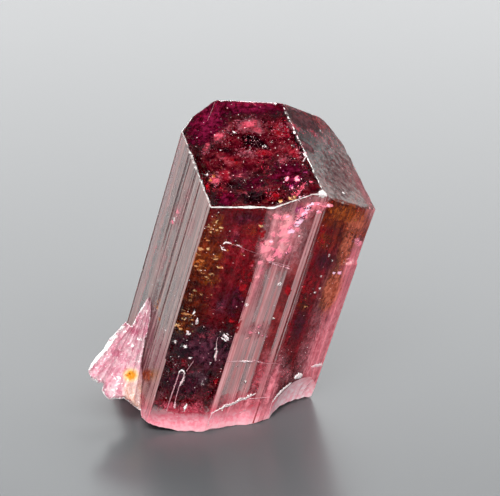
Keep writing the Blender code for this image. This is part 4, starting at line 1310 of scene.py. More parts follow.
# What is painted on the veils of the core, by the face it is seen through: (kind, x, y, wide, high, turn, strength)
# in the frame. The kinds are mineral colours, and noise in the material breaks up every edge.
ZONES = {
    "cap1": (
        ("pink", 249, 125, 13, 6.5, -5, 1.0), ("pink", 257, 129, 8, 4, 20, 0.8), ("pink", 219, 136, 8.5, 6.5, -35, 0.95),
        ("pink", 207, 147, 3.6, 7, 25, 0.8), ("pink", 227, 128, 6, 3, -40, 0.5), ("pink", 284, 161, 6, 3.5, -25, 0.7),
        ("pink", 248, 153, 11, 4, 12, 0.55), ("pink", 252, 104, 4, 7, -15, 0.6), ("pink", 298, 151, 4, 7, -20, 0.5),
        ("pink", 231, 162, 7, 3, 10, 0.4), ("pink", 215, 180, 7, 6, 0, 0.9), ("amber", 214, 180, 6, 6, 0, 0.55),
        ("pink", 301, 187, 6, 5, -20, 0.6), ("pink", 288, 178, 3, 4, 0, 0.6),
        ("ruby", 281, 130, 11, 8, 20, 0.85), ("ruby", 262, 153, 12, 5, 0, 0.5), ("ruby", 232, 161, 9, 4, 10, 0.6),
        ("ruby", 225, 176, 8, 7, 0, 0.6), ("ruby", 206, 187, 4.5, 9, -15, 1.0), ("ruby", 222, 194, 9, 6, 0, 0.7),
        ("ruby", 273, 196, 13, 6, 0, 0.7), ("ruby", 283, 203, 6, 3, 0, 0.8), ("ruby", 296, 153, 8, 8, 0, 0.6),
        ("amber", 283, 203, 6, 3, 0, 0.5), ("amber", 204, 166, 4, 5, 0, 0.5), ("ruby", 205, 166, 5, 6, 0, 0.5),
        ("wine", 200, 122, 26, 24, -25, 1.0), ("wine", 296, 172, 15, 9, 20, 1.0), ("wine", 262, 110, 15, 8, 0, 0.7),
        ("wine", 240, 175, 14, 10, 0, 0.4),
        ("night", 253, 141, 13, 5.5, 15, 1.0), ("night", 246, 137, 6, 4, 0, 0.8), ("night", 265, 146, 7, 3, 20, 0.7),
        ("night", 212, 146, 4, 4, 0, 0.5), ("night", 203, 172, 9, 6, 0, 0.6), ("night", 254, 197, 17, 8, 0, 0.75),
        ("night", 236, 186, 12, 8, 0, 0.5), ("night", 300, 192, 6, 3, 0, 0.4), ("night", 226, 150, 10, 3, 5, 0.5),
        ("night", 238, 110, 8, 6, 0, 0.4), ("night", 275, 112, 8, 10, 0, 0.5), ("night", 292, 170, 10, 5, 10, 0.4),
    ),
    "cap2": (
        ("pink", 296, 127, 10, 3.6, 38, 0.75), ("pink", 313, 133, 9, 3.2, 45, 0.7), ("pink", 329, 141, 7, 6, 30, 0.4),
        ("pink", 331, 153, 8, 2.6, 30, 0.5), ("pink", 343, 165, 9, 3.0, 45, 0.5), ("pink", 322, 174, 4, 4, 0, 0.3),
        ("pink", 362, 190, 3.5, 16, -28, 0.4), ("wine", 310, 122, 16, 8, 25, 0.5), ("night", 306, 146, 7, 2.0, 35, 0.6),
        ("wine", 320, 142, 14, 7, 35, 0.4),
    ),
    "front": (
        ("ruby", 244, 232, 17, 13, 0, 0.85), ("pink", 236, 230, 10, 9, 0, 0.20), ("ruby", 262, 226, 5, 8, 15, 0.9),
        ("ruby", 251, 266, 4, 5, 0, 0.9), ("ruby", 242, 283, 6, 12, 15, 0.7), ("ruby", 232, 321, 6, 6, 0, 1.0),
        ("ruby", 237, 332, 3, 9, 15, 0.9), ("ruby", 224, 262, 9, 8, 0, 0.35), ("ruby", 184, 362, 3, 4, 0, 0.9),
        ("ruby", 216, 381, 2.4, 4, 0, 0.7), ("ruby", 180, 388, 18, 5, 0, 0.3), ("ruby", 231, 250, 14, 4, 15, 0.5),
        ("amber", 206, 238, 8, 9, 0, 0.6), ("amber", 203, 251, 10, 6, 0, 0.85), ("amber", 196, 262, 7, 6, 0, 0.9),
        ("amber", 215, 232, 6, 6, 0, 0.5), ("amber", 216, 257, 7, 5, 0, 0.5), ("amber", 205, 276, 10, 5, 0, 0.5),
        ("amber", 213, 284, 9, 4, 0, 0.4), ("amber", 182, 327, 7, 7, 0, 0.7), ("amber", 190, 300, 6, 6, 0, 0.25),
        ("amber", 256, 226, 6, 4, 0, 0.45), ("amber", 246, 240, 8, 4, 0, 0.30), ("amber", 214, 217, 3, 4, 0, 0.5),
        ("plum", 218, 308, 13, 11, 0, 0.7), ("plum", 211, 328, 14, 12, 0, 0.8), ("plum", 207, 352, 14, 13, 0, 1.0),
        ("plum", 198, 378, 14, 12, 0, 0.85), ("plum", 170, 377, 12, 13, 0, 0.7), ("plum", 196, 308, 10, 5, 0, 0.5),
        ("plum", 184, 398, 16, 8, 0, 0.4),
        ("plum", 228, 288, 9, 9, 0, 0.35),
        ("night", 208, 267, 4, 5, 0, 0.9), ("night", 180, 344, 9, 5, 0, 1.0), ("night", 176, 354, 10, 6, 0, 0.9),
        ("night", 191, 349, 12, 5, 0, 0.9), ("night", 214, 386, 9, 15, 10, 0.8), ("night", 223, 350, 6, 11, 10, 0.8),
        ("night", 203, 330, 5, 5, 0, 0.8), ("night", 236, 272, 6, 8, 0, 0.4), ("night", 196, 290, 9, 5, 0, 0.5),
        ("night", 246, 256, 8, 5, 0, 0.3), ("night", 184, 395, 10, 5, 0, 0.4), ("night", 250, 214, 16, 5, 0, 0.35),
        ("night", 224, 218, 6, 5, 0, 0.3), ("night", 182, 372, 3, 5, 15, 0.9), ("night", 240, 300, 8, 10, 15, 0.5),
        ("pink", 184, 414, 44, 9, 2, 0.9), ("pink", 190, 404, 12, 5, 0, 0.4), ("pink", 229, 252, 5, 2, 20, 0.3),
    ),
    "right_front": (
        ("pink", 284, 231, 14, 15, -15, 0.9), ("pink", 268, 246, 9, 9, 0, 0.9), ("pink", 282, 253, 12, 8, 20, 0.8),
        ("pink", 276, 216, 6, 5, 0, 0.8), ("pink", 287, 216, 6, 5, 0, 0.8), ("pink", 262, 268, 5, 14, 15, 0.5),
        ("pink", 254, 330, 12, 7, 0, 0.8), ("pink", 310, 204, 16, 6, -10, 0.9), ("pink", 244, 398, 26, 14, 0, 0.8),
        ("pink", 262, 375, 8, 24, 15, 0.7), ("ruby", 292, 275, 5, 36, 15.7, 0.6), ("ruby", 276, 325, 5, 32, 15.7, 0.6),
        ("night", 270, 268, 7, 4, 20, 0.3), ("plum", 244, 352, 10, 12, 15, 0.4), ("plum", 256, 300, 12, 16, 15, 0.3),
    ),
    "right_upper": (
        ("amber", 346, 214, 20, 11, 8, 1.0), ("amber", 352, 228, 8, 10, 0, 0.9), ("amber", 326, 243, 9, 8, 0, 0.65),
        ("amber", 330, 216, 8, 9, 0, 0.8), ("ruby", 324, 243, 9, 7, 0, 0.5), ("night", 334, 231, 12, 5, -5, 0.6),
        ("wine", 322, 258, 10, 13, 15, 0.9), ("ruby", 305, 292, 6, 16, 15, 0.9), ("amber", 306, 308, 6, 6, 0, 0.7),
        ("night", 319, 302, 6, 16, 15, 0.6), ("night", 300, 334, 9, 22, 15, 0.55), ("wine", 296, 350, 10, 20, 15, 0.6),
        ("night", 288, 372, 5, 12, 15, 0.4), ("pink", 276, 372, 6, 20, 15, 0.6), ("pink", 274, 396, 7, 10, 15, 0.7),
        ("ruby", 315, 272, 6, 8, 0, 0.4),
    ),
    "right": (
        ("amber", 352, 222, 8, 16, 15, 0.9), ("amber", 344, 248, 6, 12, 15, 0.6), ("amber", 331, 297, 6, 22, 15.7, 0.75),
        ("pink", 362, 236, 8, 22, 15.7, 0.8), ("pink", 350, 262, 9, 12, 0, 0.9), ("pink", 345, 300, 9, 34, 15.7, 1.0),
        ("pink", 325, 350, 16, 34, 15.7, 1.0), ("wine", 350, 250, 4, 7, 20, 0.6), ("wine", 346, 288, 2.6, 8, 15, 0.4),
        ("night", 356, 234, 4, 3, 0, 0.5), ("night", 349, 247, 4, 3, 30, 0.5), ("wine", 347, 276, 9, 1.6, -35, 0.6),
    ),
    "left_front": (
        ("pink", 178, 216, 7, 14, 15.7, 0.6), ("pink", 186, 200, 4, 12, 15.7, 0.6), ("pink", 190, 232, 5, 14, 15.7, 0.55),
        ("pink", 162, 262, 6, 20, 15.7, 0.5), ("pink", 152, 350, 10, 26, 15.7, 0.7), ("pink", 152, 398, 12, 14, 0, 0.8),
        ("plum", 172, 300, 12, 26, 15.7, 0.5), ("wine", 165, 345, 8, 20, 15.7, 0.4),
    ),
}
KINDS = ("pink", "ruby", "wine", "amber", "plum", "night")


def seen(pane, v):
    """Where in the frame a point inside the crystal shows, through a face."""
    normal, at = PANES[pane]
    to_eye = EYE - at
    bent = bend(to_eye / np.linalg.norm(to_eye), normal)
    rel = v + bent * (((at - v) @ normal) / (bent @ normal))[:, None] - EYE
    ahead = rel @ np.array([0, math.cos(PITCH), -math.sin(PITCH)])
    down = rel @ np.array([0, -math.sin(PITCH), -math.cos(PITCH)])
    return np.column_stack([250 + FOCAL * rel[:, 0] / ahead, 248 + FOCAL * down / ahead])


def spot(px, x, y, wide, high, turn=0.0):
    c, s = math.cos(math.radians(turn)), math.sin(math.radians(turn))
    dx, dy = px[:, 0] - x, px[:, 1] - y
    u, v = (dx * c + dy * s) / wide, (-dx * s + dy * c) / high
    return np.exp(-1.2 * (u * u + v * v) ** 1.5)


CAP_INSET = 0.50
COVER = {
    "cap1": 0.86, "cap2": 0.40, "cap3": 0.60, "left_front": 0.45, "front": 0.88, "right_front": 0.60, "right_upper": 0.85,
    "right": 0.62, "right_back": 0.55, "back_right": 0.60, "back": 0.70, "left_back": 0.65, "left": 0.60,
}


def build_core():
    turns, levels, rings = 250, 132, 56
    ang = np.linspace(0, 2 * np.pi, turns, endpoint=False)
    unit = np.column_stack([np.cos(ang), np.sin(ang)])
    d = np.array([f[2] - INSET[f[0]] for f in PRISM])
    facing = unit @ PRISM_N[:, :2].T
    reach = np.where(facing > 0.05, d / np.maximum(facing, 0.05), 99.0)
    soft = 0.12
    low = reach.min(1, keepdims=True)
    radius = (low - soft * np.log(np.exp(-(reach - low) / soft).sum(1, keepdims=True)))[:, 0] + 0.05

    def top_of(xy):
        return cap_height(xy[:, 0], xy[:, 1], soft=0.12) - CAP_INSET / CAP_N[:, 2].min()

    def foot_of(xy):
        flat = np.column_stack([xy, np.zeros(len(xy))])
        return base_height(xy[:, 0], xy[:, 1]) + 1.25 + 0.45 * swirl(flat, 62, 0.55)[:, 0]

    ring = unit * radius[:, None]
    shrink = np.linspace(1, 0, rings + 1)[1:-1]
    verts = [np.column_stack([ring, foot_of(ring) + (top_of(ring) - foot_of(ring)) * t]) for t in np.linspace(0, 1, levels)]
    verts += [np.column_stack([ring * s, top_of(ring * s)]) for s in shrink]
    verts.append(np.array([[0, 0, top_of(np.zeros((1, 2)))[0]]]))
    verts += [np.column_stack([ring * s, foot_of(ring * s)]) for s in shrink]
    verts.append(np.array([[0, 0, foot_of(np.zeros((1, 2)))[0]]]))
    allv = np.concatenate(verts)
    rows_up = levels + rings - 1
    i = np.arange(turns)
    k = (i + 1) % turns
    tris = []
    for j in range(rows_up - 1):
        a, b = j * turns, (j + 1) * turns
        tris += [np.column_stack([a + i, a + k, b + k]), np.column_stack([a + i, b + k, b + i])]
    tip = rows_up * turns
    tris.append(np.column_stack([(rows_up - 1) * turns + i, (rows_up - 1) * turns + k, np.full(turns, tip)]))
    start = tip + 1
    for j in range(rings - 1):
        a = 0 if j == 0 else start + (j - 1) * turns
        b = start + j * turns
        tris += [np.column_stack([a + k, a + i, b + i]), np.column_stack([a + k, b + i, b + k])]
    last, end = start + (rings - 2) * turns, start + (rings - 1) * turns
    tris.append(np.column_stack([last + k, last + i, np.full(turns, end)]))
    tris = np.concatenate(tris)
    # the veils are wavy and a little crumpled
    out = allv - np.array([0, 0, 10.0])
    out[:, 2] *= (allv[:, 2] > 17) * 0.6
    out /= np.maximum(np.linalg.norm(out, axis=1), 1e-6)[:, None]
    bumps = 0.10 * swirl(allv, 81, 0.7)[:, 0] + 0.055 * swirl(allv, 82, 1.8)[:, 0] + 0.028 * swirl(allv, 83, 4.2)[:, 0]
    depth = np.concatenate([PRISM_D - allv @ PRISM_N.T, CAP_D - allv @ CAP_N.T], axis=1)
    inset = np.array([INSET[f[0]] for f in PRISM] + [CAP_INSET] * 3)
    own = np.abs(depth - inset).argmin(1)
    pts = allv + out * bumps[:, None]
    row = to_row(pts)
    names = NAMES + ["cap1", "cap2", "cap3"]
    layers = {kind: np.zeros(len(row)) for kind in KINDS}
    cover = np.zeros(len(row))
    for n, name in enumerate(names):
        m = own == n
        if not m.any():
            continue
        cover[m] = COVER[name]
        if name in ZONES:
            px = seen(name, row[m])
            px = px + 1.3 * swirl(row[m], 91, 2.0)[:, :2]
            for kind, x, y, wide, high, turn, strength in ZONES[name]:
                layers[kind][m] = np.maximum(layers[kind][m], strength * spot(px, x, y, wide, high, turn))
        else:
            # faces away from the camera carry the same kinds of veil
            where = pts[m] * np.array([1, 1, 0.45])
            for q, (kind, start_at, gain) in enumerate((("pink", 0.55, 2.2), ("ruby", 0.15, 1.8), ("wine", 0.1, 1.5), ("amber", 0.62, 2.0), ("plum", 0.35, 1.8), ("night", 0.40, 2.2))):
                field = swirl(where, 300 + q, 0.62)[:, 0]
                layers[kind][m] = np.clip((field - start_at) * gain, 0, 1)
    # the foot pales to pink all round
    rise = pts[:, 2] - base_height(pts[:, 0], pts[:, 1])
    layers["pink"] = np.maximum(layers["pink"], np.clip((2.3 - rise) / 1.2, 0, 1) * 0.9)
    for kind in ("night", "plum", "wine"):
        layers[kind] = layers[kind] * np.clip((rise - 1.2) / 1.2, 0, 1)
    layers["cover"] = cover
    obj = fast_mesh("colour_core", row, tris, layers, "POINT")
    obj.data.shade_smooth()
    print("core triangles", len(tris))
    obj.data.materials.append(core_material())
    return obj


def core_material():
    """The deep red heart: wavy healed fractures in ruby, wine, plum, amber and pink over a dark clear body."""
    mat, n = material("deep_red_zone")
    p = n.p.inputs
    here = n.crystal()
    pink, ruby, wine, amber, plum, night = (n.attr(k) for k in KINDS)
    broad = n.noise(here, scale=0.55, detail=3, rough=0.55)
    middle = n.noise(here, scale=1.7, detail=4, rough=0.6, distortion=0.4)
    fine = n.noise(here, scale=5.0, detail=4, rough=0.65)
    wisp = n.noise(n.crystal((1.0, 1.0, 2.6)), scale=1.5, detail=4, rough=0.6, distortion=1.2)

    def ragged(mask, noise, push=1.5, lo=0.12, hi=0.88):
        return n.step(n.math("MULTIPLY_ADD", n.math("SUBTRACT", noise, 0.5), push, mask), lo, hi)

    col = n.mix(n.step(middle, 0.34, 0.66), (0.045, 0.002, 0.006), (0.30, 0.012, 0.028))
    col = n.mix(n.math("MULTIPLY", n.step(wisp, 0.50, 0.66), 0.45), col, (0.42, 0.05, 0.07))
    col = n.mix(n.math("MULTIPLY", n.step(broad, 0.42, 0.66), 0.55), col, (0.035, 0.002, 0.006))
    col = n.mix(n.math("MULTIPLY", ragged(wine, broad, 1.0), 0.85), col, n.mix(n.step(fine, 0.35, 0.65), (0.10, 0.002, 0.024), (0.27, 0.008, 0.070)))
    col = n.mix(n.math("MULTIPLY", ragged(ruby, middle), 0.90), col, n.mix(n.step(fine, 0.35, 0.65), (0.36, 0.006, 0.018), (0.95, 0.040, 0.090)))
    col = n.mix(n.math("MULTIPLY", ragged(plum, middle, 1.0), 0.85), col, n.mix(n.step(fine, 0.35, 0.65), (0.10, 0.040, 0.070), (0.36, 0.19, 0.26)))
    col = n.mix(n.math("MULTIPLY", ragged(amber, wisp), 0.90), col, n.mix(n.step(fine, 0.35, 0.65), (0.26, 0.055, 0.006), (1.0, 0.34, 0.05)))
    col = n.mix(n.math("MULTIPLY", ragged(night, middle, 1.4, 0.10, 0.60), 0.96), col, (0.006, 0.001, 0.004))
    col = n.mix(n.math("MULTIPLY", ragged(pink, fine, 1.5), 0.94), col, n.mix(n.step(middle, 0.35, 0.65), (0.95, 0.18, 0.27), (1.0, 0.50, 0.58)))
    # a fine crazing of paler threads
    thread = n.voronoi(n.crystal((1, 1, 0.8)), scale=2.4, feature="DISTANCE_TO_EDGE")
    thread = n.math("MULTIPLY", n.step(thread, 0.045, 0.0), n.step(middle, 0.48, 0.62))
    col = n.mix(n.math("MULTIPLY", thread, 0.35), col, (0.85, 0.30, 0.34))
    holes = n.step(n.math("MULTIPLY_ADD", n.math("SUBTRACT", wisp, 0.5), 1.6, n.attr("cover")), 0.16, 0.62)
    solid = n.math("MULTIPLY", holes, 0.96)
    n.put(p["Base Color"], n.mix(n.step(solid, 0.0, 0.06), (1, 1, 1), col))
    n.put(p["Transmission Weight"], n.math("SUBTRACT", 1.0, solid))
    p["IOR"].default_value = 1.0
    p["Roughness"].default_value = 0.5
    absorb(n, (0.080, 0.20, 0.16))
    return mat


core = build_core()
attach(core, "root")

# Under the front cap face
top = Flakes("veils_cap", 501)
F1 = "cap1"
WARM, PALE, WHITE, HOT, RED, GOLD = (0.40, 0.52), (0.54, 0.66), (0.64, 0.74), (0.42, 0.50), (0.24, 0.36), (0.76, 0.92)
for c, sp, tr, cnt in (
    ((249, 125), (13, 6), -5, 240), ((219, 136), (8, 7), -35, 160), ((207, 147), (4, 8), 25, 60), ((284, 161), (7, 4), -20, 60),
    ((249, 153), (12, 4), 12, 70), ((252, 105), (4, 7), -15, 60), ((300, 152), (4, 8), -25, 40), ((281, 130), (10, 8), 20, 110),
):
    top.cloud(F1, c, sp, tr, (0.08, 0.42), cnt, (0.06, 0.26), (0.34, 0.52), (0.2, 0.7), wave=14, tilt=12, lit=0.6)
for c, sp, tr, cnt, hue in (
    ((215, 180), (6, 6), 20, 110, (0.34, 0.62)), ((206, 187), (3, 8), -15, 70, RED), ((222, 193), (9, 5), 10, 60, RED),
    ((272, 194), (12, 5), 0, 70, (0.26, 0.50)), ((283, 203), (6, 3), 0, 50, (0.34, 0.86)), ((270, 171), (7, 4), 30, 40, RED),
):
    top.cloud(F1, c, sp, tr, (0.06, 0.40), cnt, (0.06, 0.30), hue, (0.4, 1.0), wave=12, tilt=9, lit=0.9)
for c, sp, tr, cnt, size in (
    ((287, 180), (2, 4), 0, 9, (0.20, 0.42)), ((297, 180), (2, 4), 0, 9, (0.20, 0.42)), ((291, 187), (3, 3), 0, 10, (0.15, 0.34)),
    ((300, 187), (7, 4), -25, 26, (0.15, 0.40)), ((297, 193), (6, 3), -25, 22, (0.12, 0.30)), ((308, 182), (4, 2), -25, 10, (0.15, 0.34)),
    ((303, 198), (6, 2), -12, 16, (0.12, 0.28)),
):
    top.cloud(F1, c, sp, tr, (0.06, 0.35), cnt, (size[0] * 1.5, size[1] * 1.4), (0.43, 0.58), (0.85, 1.0), wave=1.5, tilt=2.0, lit=1.0, power=1.0)
top.cloud(F1, (297, 186), (9, 7), 0, (0.05, 0.35), 40, (0.06, 0.16), (0.56, 0.72), (0.8, 1.0), wave=3, tilt=4, lit=1.0)
# bright bits round the dark hole, and white points everywhere
for c, sp, cnt, size in (
    ((253, 139), (11, 6), 30, (0.05, 0.13)), ((272, 142), (2.0, 1.6), 7, (0.10, 0.22)), ((235, 132), (2.0, 1.6), 6, (0.10, 0.22)),
    ((264, 147), (4, 2), 8, (0.10, 0.20)), ((244, 162), (1.6, 1.4), 4, (0.10, 0.18)), ((281, 146), (2, 1.4), 4, (0.08, 0.14)),
    ((277, 175), (1.2, 1.0), 4, (0.09, 0.15)), ((269, 189), (1.5, 1.0), 4, (0.10, 0.16)), ((217, 178), (2.0, 1.5), 5, (0.10, 0.18)),
    ((206, 174), (5, 2), 10, (0.10, 0.20)), ((275, 164), (1.2, 1.0), 3, (0.08, 0.14)), ((249, 196), (1.0, 1.0), 3, (0.08, 0.13)),
    ((258, 175), (1.2, 1.0), 3, (0.08, 0.13)), ((270, 195), (1.5, 1.2), 4, (0.10, 0.16)), ((259, 202), (1.0, 1.0), 3, (0.08, 0.12)),
):
    top.cloud(F1, c, sp, 0, (0.04, 0.30), cnt, size, WHITE, (0.7, 1.0), wave=3, tilt=5, lit=1.0, margin=0.03)
top.cloud(F1, (250, 150), (60, 48), 0, (0.05, 0.45), 420, (0.035, 0.10), (0.50, 0.74), (0.6, 1.0), wave=5, tilt=9, hard=True, clump=(3, 1.1, -0.2), lit=1.0)
top.cloud(F1, (225, 150), (36, 44), 0, (0.05, 0.40), 260, (0.04, 0.12), (0.40, 0.66), (0.4, 1.0), wave=8, tilt=12, hard=True, clump=(14, 1.4, 0.0), lit=0.9)
top.cloud(F1, (250, 150), (60, 46), 0, (0.10, 0.50), 520, (0.06, 0.26), (0.16, 0.36), (0.2, 0.9), wave=18, tilt=12, hard=True, clump=(1, 0.9, 0.1), lit=0.7)
top.cloud(F1, (206, 122), (20, 26), 30, (0.05, 0.45), 160, (0.05, 0.20), (0.13, 0.34), (0.2, 0.8), wave=16, tilt=12, lit=0.7)
finish_flakes(top)

# Behind the wide front face
front = Flakes("veils_front", 502)
P2 = "front"
for c, sp, cnt, size, hue in (
    ((198, 260), (5, 1.2), 16, (0.14, 0.34), (0.78, 0.88)), ((197, 265.5), (5, 1.0), 12, (0.12, 0.28), (0.74, 0.88)),
    ((203, 250), (6, 4), 34, (0.08, 0.26), GOLD), ((206, 240), (4, 5), 18, (0.08, 0.20), GOLD), ((215, 231), (4, 5), 30, (0.08, 0.24), (0.72, 0.86)),
    ((216, 220), (3, 3), 12, (0.07, 0.18), (0.72, 0.88)), ((214, 256), (6, 3), 26, (0.08, 0.22), (0.70, 0.86)), ((211, 235), (4, 3), 12, (0.06, 0.16), WHITE),
    ((204, 277), (8, 3), 18, (0.07, 0.18), (0.84, 0.96)), ((214, 284), (7, 3), 12, (0.07, 0.16), (0.84, 0.96)),
    ((182, 326), (6, 5), 40, (0.08, 0.22), (0.68, 0.88)), ((191, 317), (4, 6), 26, (0.07, 0.18), (0.64, 0.80)), ((206, 298), (4, 4), 22, (0.08, 0.18), (0.60, 0.78)),
    ((221, 266), (4, 1.8), 10, (0.14, 0.30), (0.68, 0.80)), ((257, 226), (5, 2), 14, (0.07, 0.18), (0.74, 0.88)), ((188, 285), (3, 8), 10, (0.06, 0.14), GOLD),
):
    front.cloud(P2, c, sp, 0 if sp[0] > sp[1] else LEANING, (0.08, 0.42), cnt, (size[0] * 1.3, size[1] * 1.3), hue, (0.8, 1.0), wave=2.5, tilt=3.5, stretch=2.4, lit=1.0, margin=0.04, along=(1, 0.15))
for c, sp, turn, cnt, size in (
    ((229, 243.5), (4.0, 1.3), -5, 14, (0.18, 0.38)), ((223.5, 248.5), (3.6, 1.1), 28, 12, (0.16, 0.32)), ((197, 321), (1.0, 4.2), 18, 12, (0.12, 0.26)),
    ((194, 313.5), (1.2, 2.4), 10, 6, (0.10, 0.18)), ((225, 335), (3.0, 1.2), 30, 8, (0.14, 0.30)), ((223, 338), (3.4, 1.0), 25, 8, (0.14, 0.28)),
    ((227.5, 337), (3.6, 1.0), 30, 8, (0.14, 0.28)), ((228, 341), (2.4, 0.8), 10, 5, (0.10, 0.20)), ((226, 346), (1.4, 2.8), 20, 6, (0.08, 0.18)),
    ((187, 345.5), (4.4, 1.2), 20, 14, (0.12, 0.24)), ((175, 341), (1.6, 1.0), 0, 6, (0.12, 0.22)), ((193, 358), (2.6, 1.2), -15, 8, (0.12, 0.24)),
    ((173, 359), (1.5, 0.8), 0, 4, (0.10, 0.18)), ((177, 363.5), (1.2, 0.8), 0, 4, (0.08, 0.14)), ((187, 333), (1.0, 2.2), 10, 6, (0.10, 0.20)),
    ((197, 306.5), (2.0, 0.8), 0, 4, (0.08, 0.16)), ((213, 309), (3.0, 0.8), 12, 6, (0.08, 0.16)), ((238, 247), (4.0, 0.9), 16, 8, (0.08, 0.16)),
    ((208, 363), (2.0, 0.7), -10, 4, (0.08, 0.14)), ((185, 406), (0.9, 1.0), 0, 4, (0.08, 0.14)), ((202, 384), (1.0, 3.4), 12, 6, (0.07, 0.14)),
):
    direction = (math.cos(math.radians(turn)), math.sin(math.radians(turn))) if sp[0] > sp[1] else (-math.sin(math.radians(turn)), math.cos(math.radians(turn)))
    front.cloud(P2, c, (sp[0] * 0.8, sp[1] * 0.7), turn, (0.08, 0.34), cnt, (size[0] * 1.25, size[1] * 1.25), (0.62, 0.74), (0.88, 1.0), wave=1.0, tilt=2.0, stretch=2.8, lit=1.0, margin=0.03, along=direction, power=1.0)
for c, sp, cnt, hue in (
    ((252, 250), (2, 2.6), 12, (0.46, 0.62)), ((251, 266), (2.4, 3.4), 16, (0.26, 0.40)), ((252, 273), (2, 3), 8, (0.28, 0.40)), ((241, 281), (4, 4), 14, (0.26, 0.40)),
    ((231, 320), (4, 4), 34, (0.24, 0.36)), ((237, 326), (2, 4), 12, (0.28, 0.44)), ((262, 238), (3, 5), 20, (0.36, 0.52)), ((257, 245), (4, 3), 16, (0.40, 0.56)),
    ((252, 230), (8, 8), 16, (0.24, 0.40)), ((219, 306), (6, 6), 30, (0.42, 0.60)), ((184, 362), (1.6, 2.6), 8, (0.28, 0.42)), ((217, 381), (1.0, 2.6), 8, (0.28, 0.90)),
    ((264, 222), (2, 5), 12, (0.24, 0.38)),
):
    front.cloud(P2, c, sp, LEANING, (0.06, 0.40), cnt, (0.07, 0.24), hue, (0.5, 1.0), wave=4, tilt=6, lit=1.0, margin=0.04)
front.cloud(P2, (218, 330), (18, 30), LEANING, (0.08, 0.42), 150, (0.07, 0.26), (0.06, 0.13), (0.1, 0.7), wave=10, tilt=10, lit=0.9, clump=(15, 1.3, 0.0))
front.cloud(P2, (168, 372), (8, 12), LEANING, (0.06, 0.40), 90, (0.05, 0.18), (0.40, 0.66), (0.2, 0.8), wave=10, tilt=12, lit=0.9, clump=(16, 2.0, 0.1))
front.cloud(P2, (190, 385), (26, 26), LEANING, (0.08, 0.42), 220, (0.05, 0.24), (0.12, 0.36), (0.2, 0.9), wave=12, tilt=10, clump=(6, 1.0, 0.0), lit=0.8)
front.cloud(P2, (215, 300), (32, 100), LEANING, (0.05, 0.42), 330, (0.035, 0.11), (0.40, 0.74), (0.5, 1.0), wave=5, tilt=9, hard=True, clump=(7, 1.1, -0.1), lit=1.0)
front.cloud(P2, (218, 270), (32, 70), LEANING, (0.08, 0.45), 260, (0.06, 0.24), (0.16, 0.34), (0.2, 0.8), wave=14, tilt=10, hard=True, clump=(4, 0.9, 0.1), lit=0.8)
# the pale sparkling foot
front.cloud(P2, (183, 419), (30, 4), 4, (0.05, 0.45), 110, (0.05, 0.18), (0.52, 0.70), (0.5, 1.0), hard=True, margin=0.0, wave=6, tilt=10, lit=1.0)
front.cloud(P2, (180, 408), (28, 5), 4, (0.06, 0.45), 120, (0.05, 0.20), (0.34, 0.54), (0.3, 0.9), margin=0.0, wave=8, tilt=10, lit=1.0)
front.trail(P2, ((216, 344), (216.8, 352), (215.5, 361)), (0.12, 0.17), 0.28, (0.09, 0.14), (0.60, 0.70), (0.2, 0.7), 0.15)
finish_flakes(front)

# Behind the right-hand faces
right = Flakes("veils_right", 503)
P3, P4, P5 = "right_front", "right_upper", "right"
for c, sp, tr, cnt, size in (
    ((284, 230), (9, 6), -5, 50, (0.12, 0.40)), ((268, 245), (6, 6), 10, 36, (0.12, 0.36)), ((278, 253), (9, 4), 10, 30, (0.10, 0.34)),
    ((300, 219), (9, 5), -50, 40, (0.12, 0.36)), ((318, 205), (13, 3.4), -6, 50, (0.10, 0.34)), ((257, 328), (9, 4), -10, 24, (0.10, 0.28)),
):
    right.cloud(P3, c, sp, tr, (0.06, 0.42), cnt, size, HOT, (0.8, 1.0), wave=4, tilt=4, lit=1.0, margin=0.03)
for c, sp, cnt in (((258, 335), (9, 6), 30), ((244, 392), (14, 10), 30), ((268, 398), (9, 6), 24)):
    right.cloud(P3, c, sp, LEANING, (0.10, 0.6), cnt, (0.07, 0.26), (0.36, 0.56), (0.2, 0.9), wave=10, tilt=8, lit=0.9)
for c in ((245, 305), (280, 283.5), (246, 382), (256, 388), (274, 319), (230, 342), (288, 326), (259, 334), (233, 361), (291, 293), (237, 366)):
    right.cloud(P3, c, (0.9, 1.1), 0, (0.04, 0.12), 5, (0.09, 0.16), WHITE, (0.9, 1.0), wave=1, tilt=3, lit=1.0, margin=0.02)
right.cloud(P3, (262, 310), (26, 105), LEANING, (0.05, 0.6), 110, (0.035, 0.11), (0.52, 0.74), (0.5, 1.0), wave=5, tilt=10, hard=True, lit=1.0)
# brown top, red and dark body of the next face
right.cloud(P4, (344, 214), (17, 9), 0, (0.06, 0.45), 60, (0.08, 0.30), (0.88, 0.97), (0.0, 0.5), wave=12, lit=0.8)
right.cloud(P4, (324, 243), (8, 7), LEANING, (0.06, 0.45), 60, (0.08, 0.26), (0.26, 0.36), (0.1, 0.7), wave=12, lit=0.8)
right.cloud(P4, (306, 290), (5, 12), LEANING, (0.06, 0.45), 70, (0.07, 0.22), (0.24, 0.38), (0.4, 1.0), wave=5, tilt=7, lit=1.0)
right.cloud(P4, (307, 306), (4, 4), LEANING, (0.05, 0.40), 34, (0.06, 0.20), (0.36, 0.88), (0.5, 1.0), wave=4, tilt=6, lit=1.0)
for c, sp, cnt in (
    ((329, 262), (3, 4), 22), ((327, 257), (2, 2), 8), ((324, 272), (5, 4), 14), ((317, 277), (3, 2), 8), ((320, 288), (1, 1), 4), ((315, 294), (1.4, 3), 8),
    ((312, 303), (3, 4), 10), ((319, 308), (1, 1), 3), ((300, 330), (8, 22), 16), ((304, 276), (3, 2), 5), ((341, 231), (2, 2), 5), ((306, 297), (2, 2), 5),
):
    right.cloud(P4, c, sp, 0, (0.04, 0.30), cnt, (0.05, 0.13), (0.56, 0.72), (0.7, 1.0), wave=2, tilt=5, lit=1.0, margin=0.03)
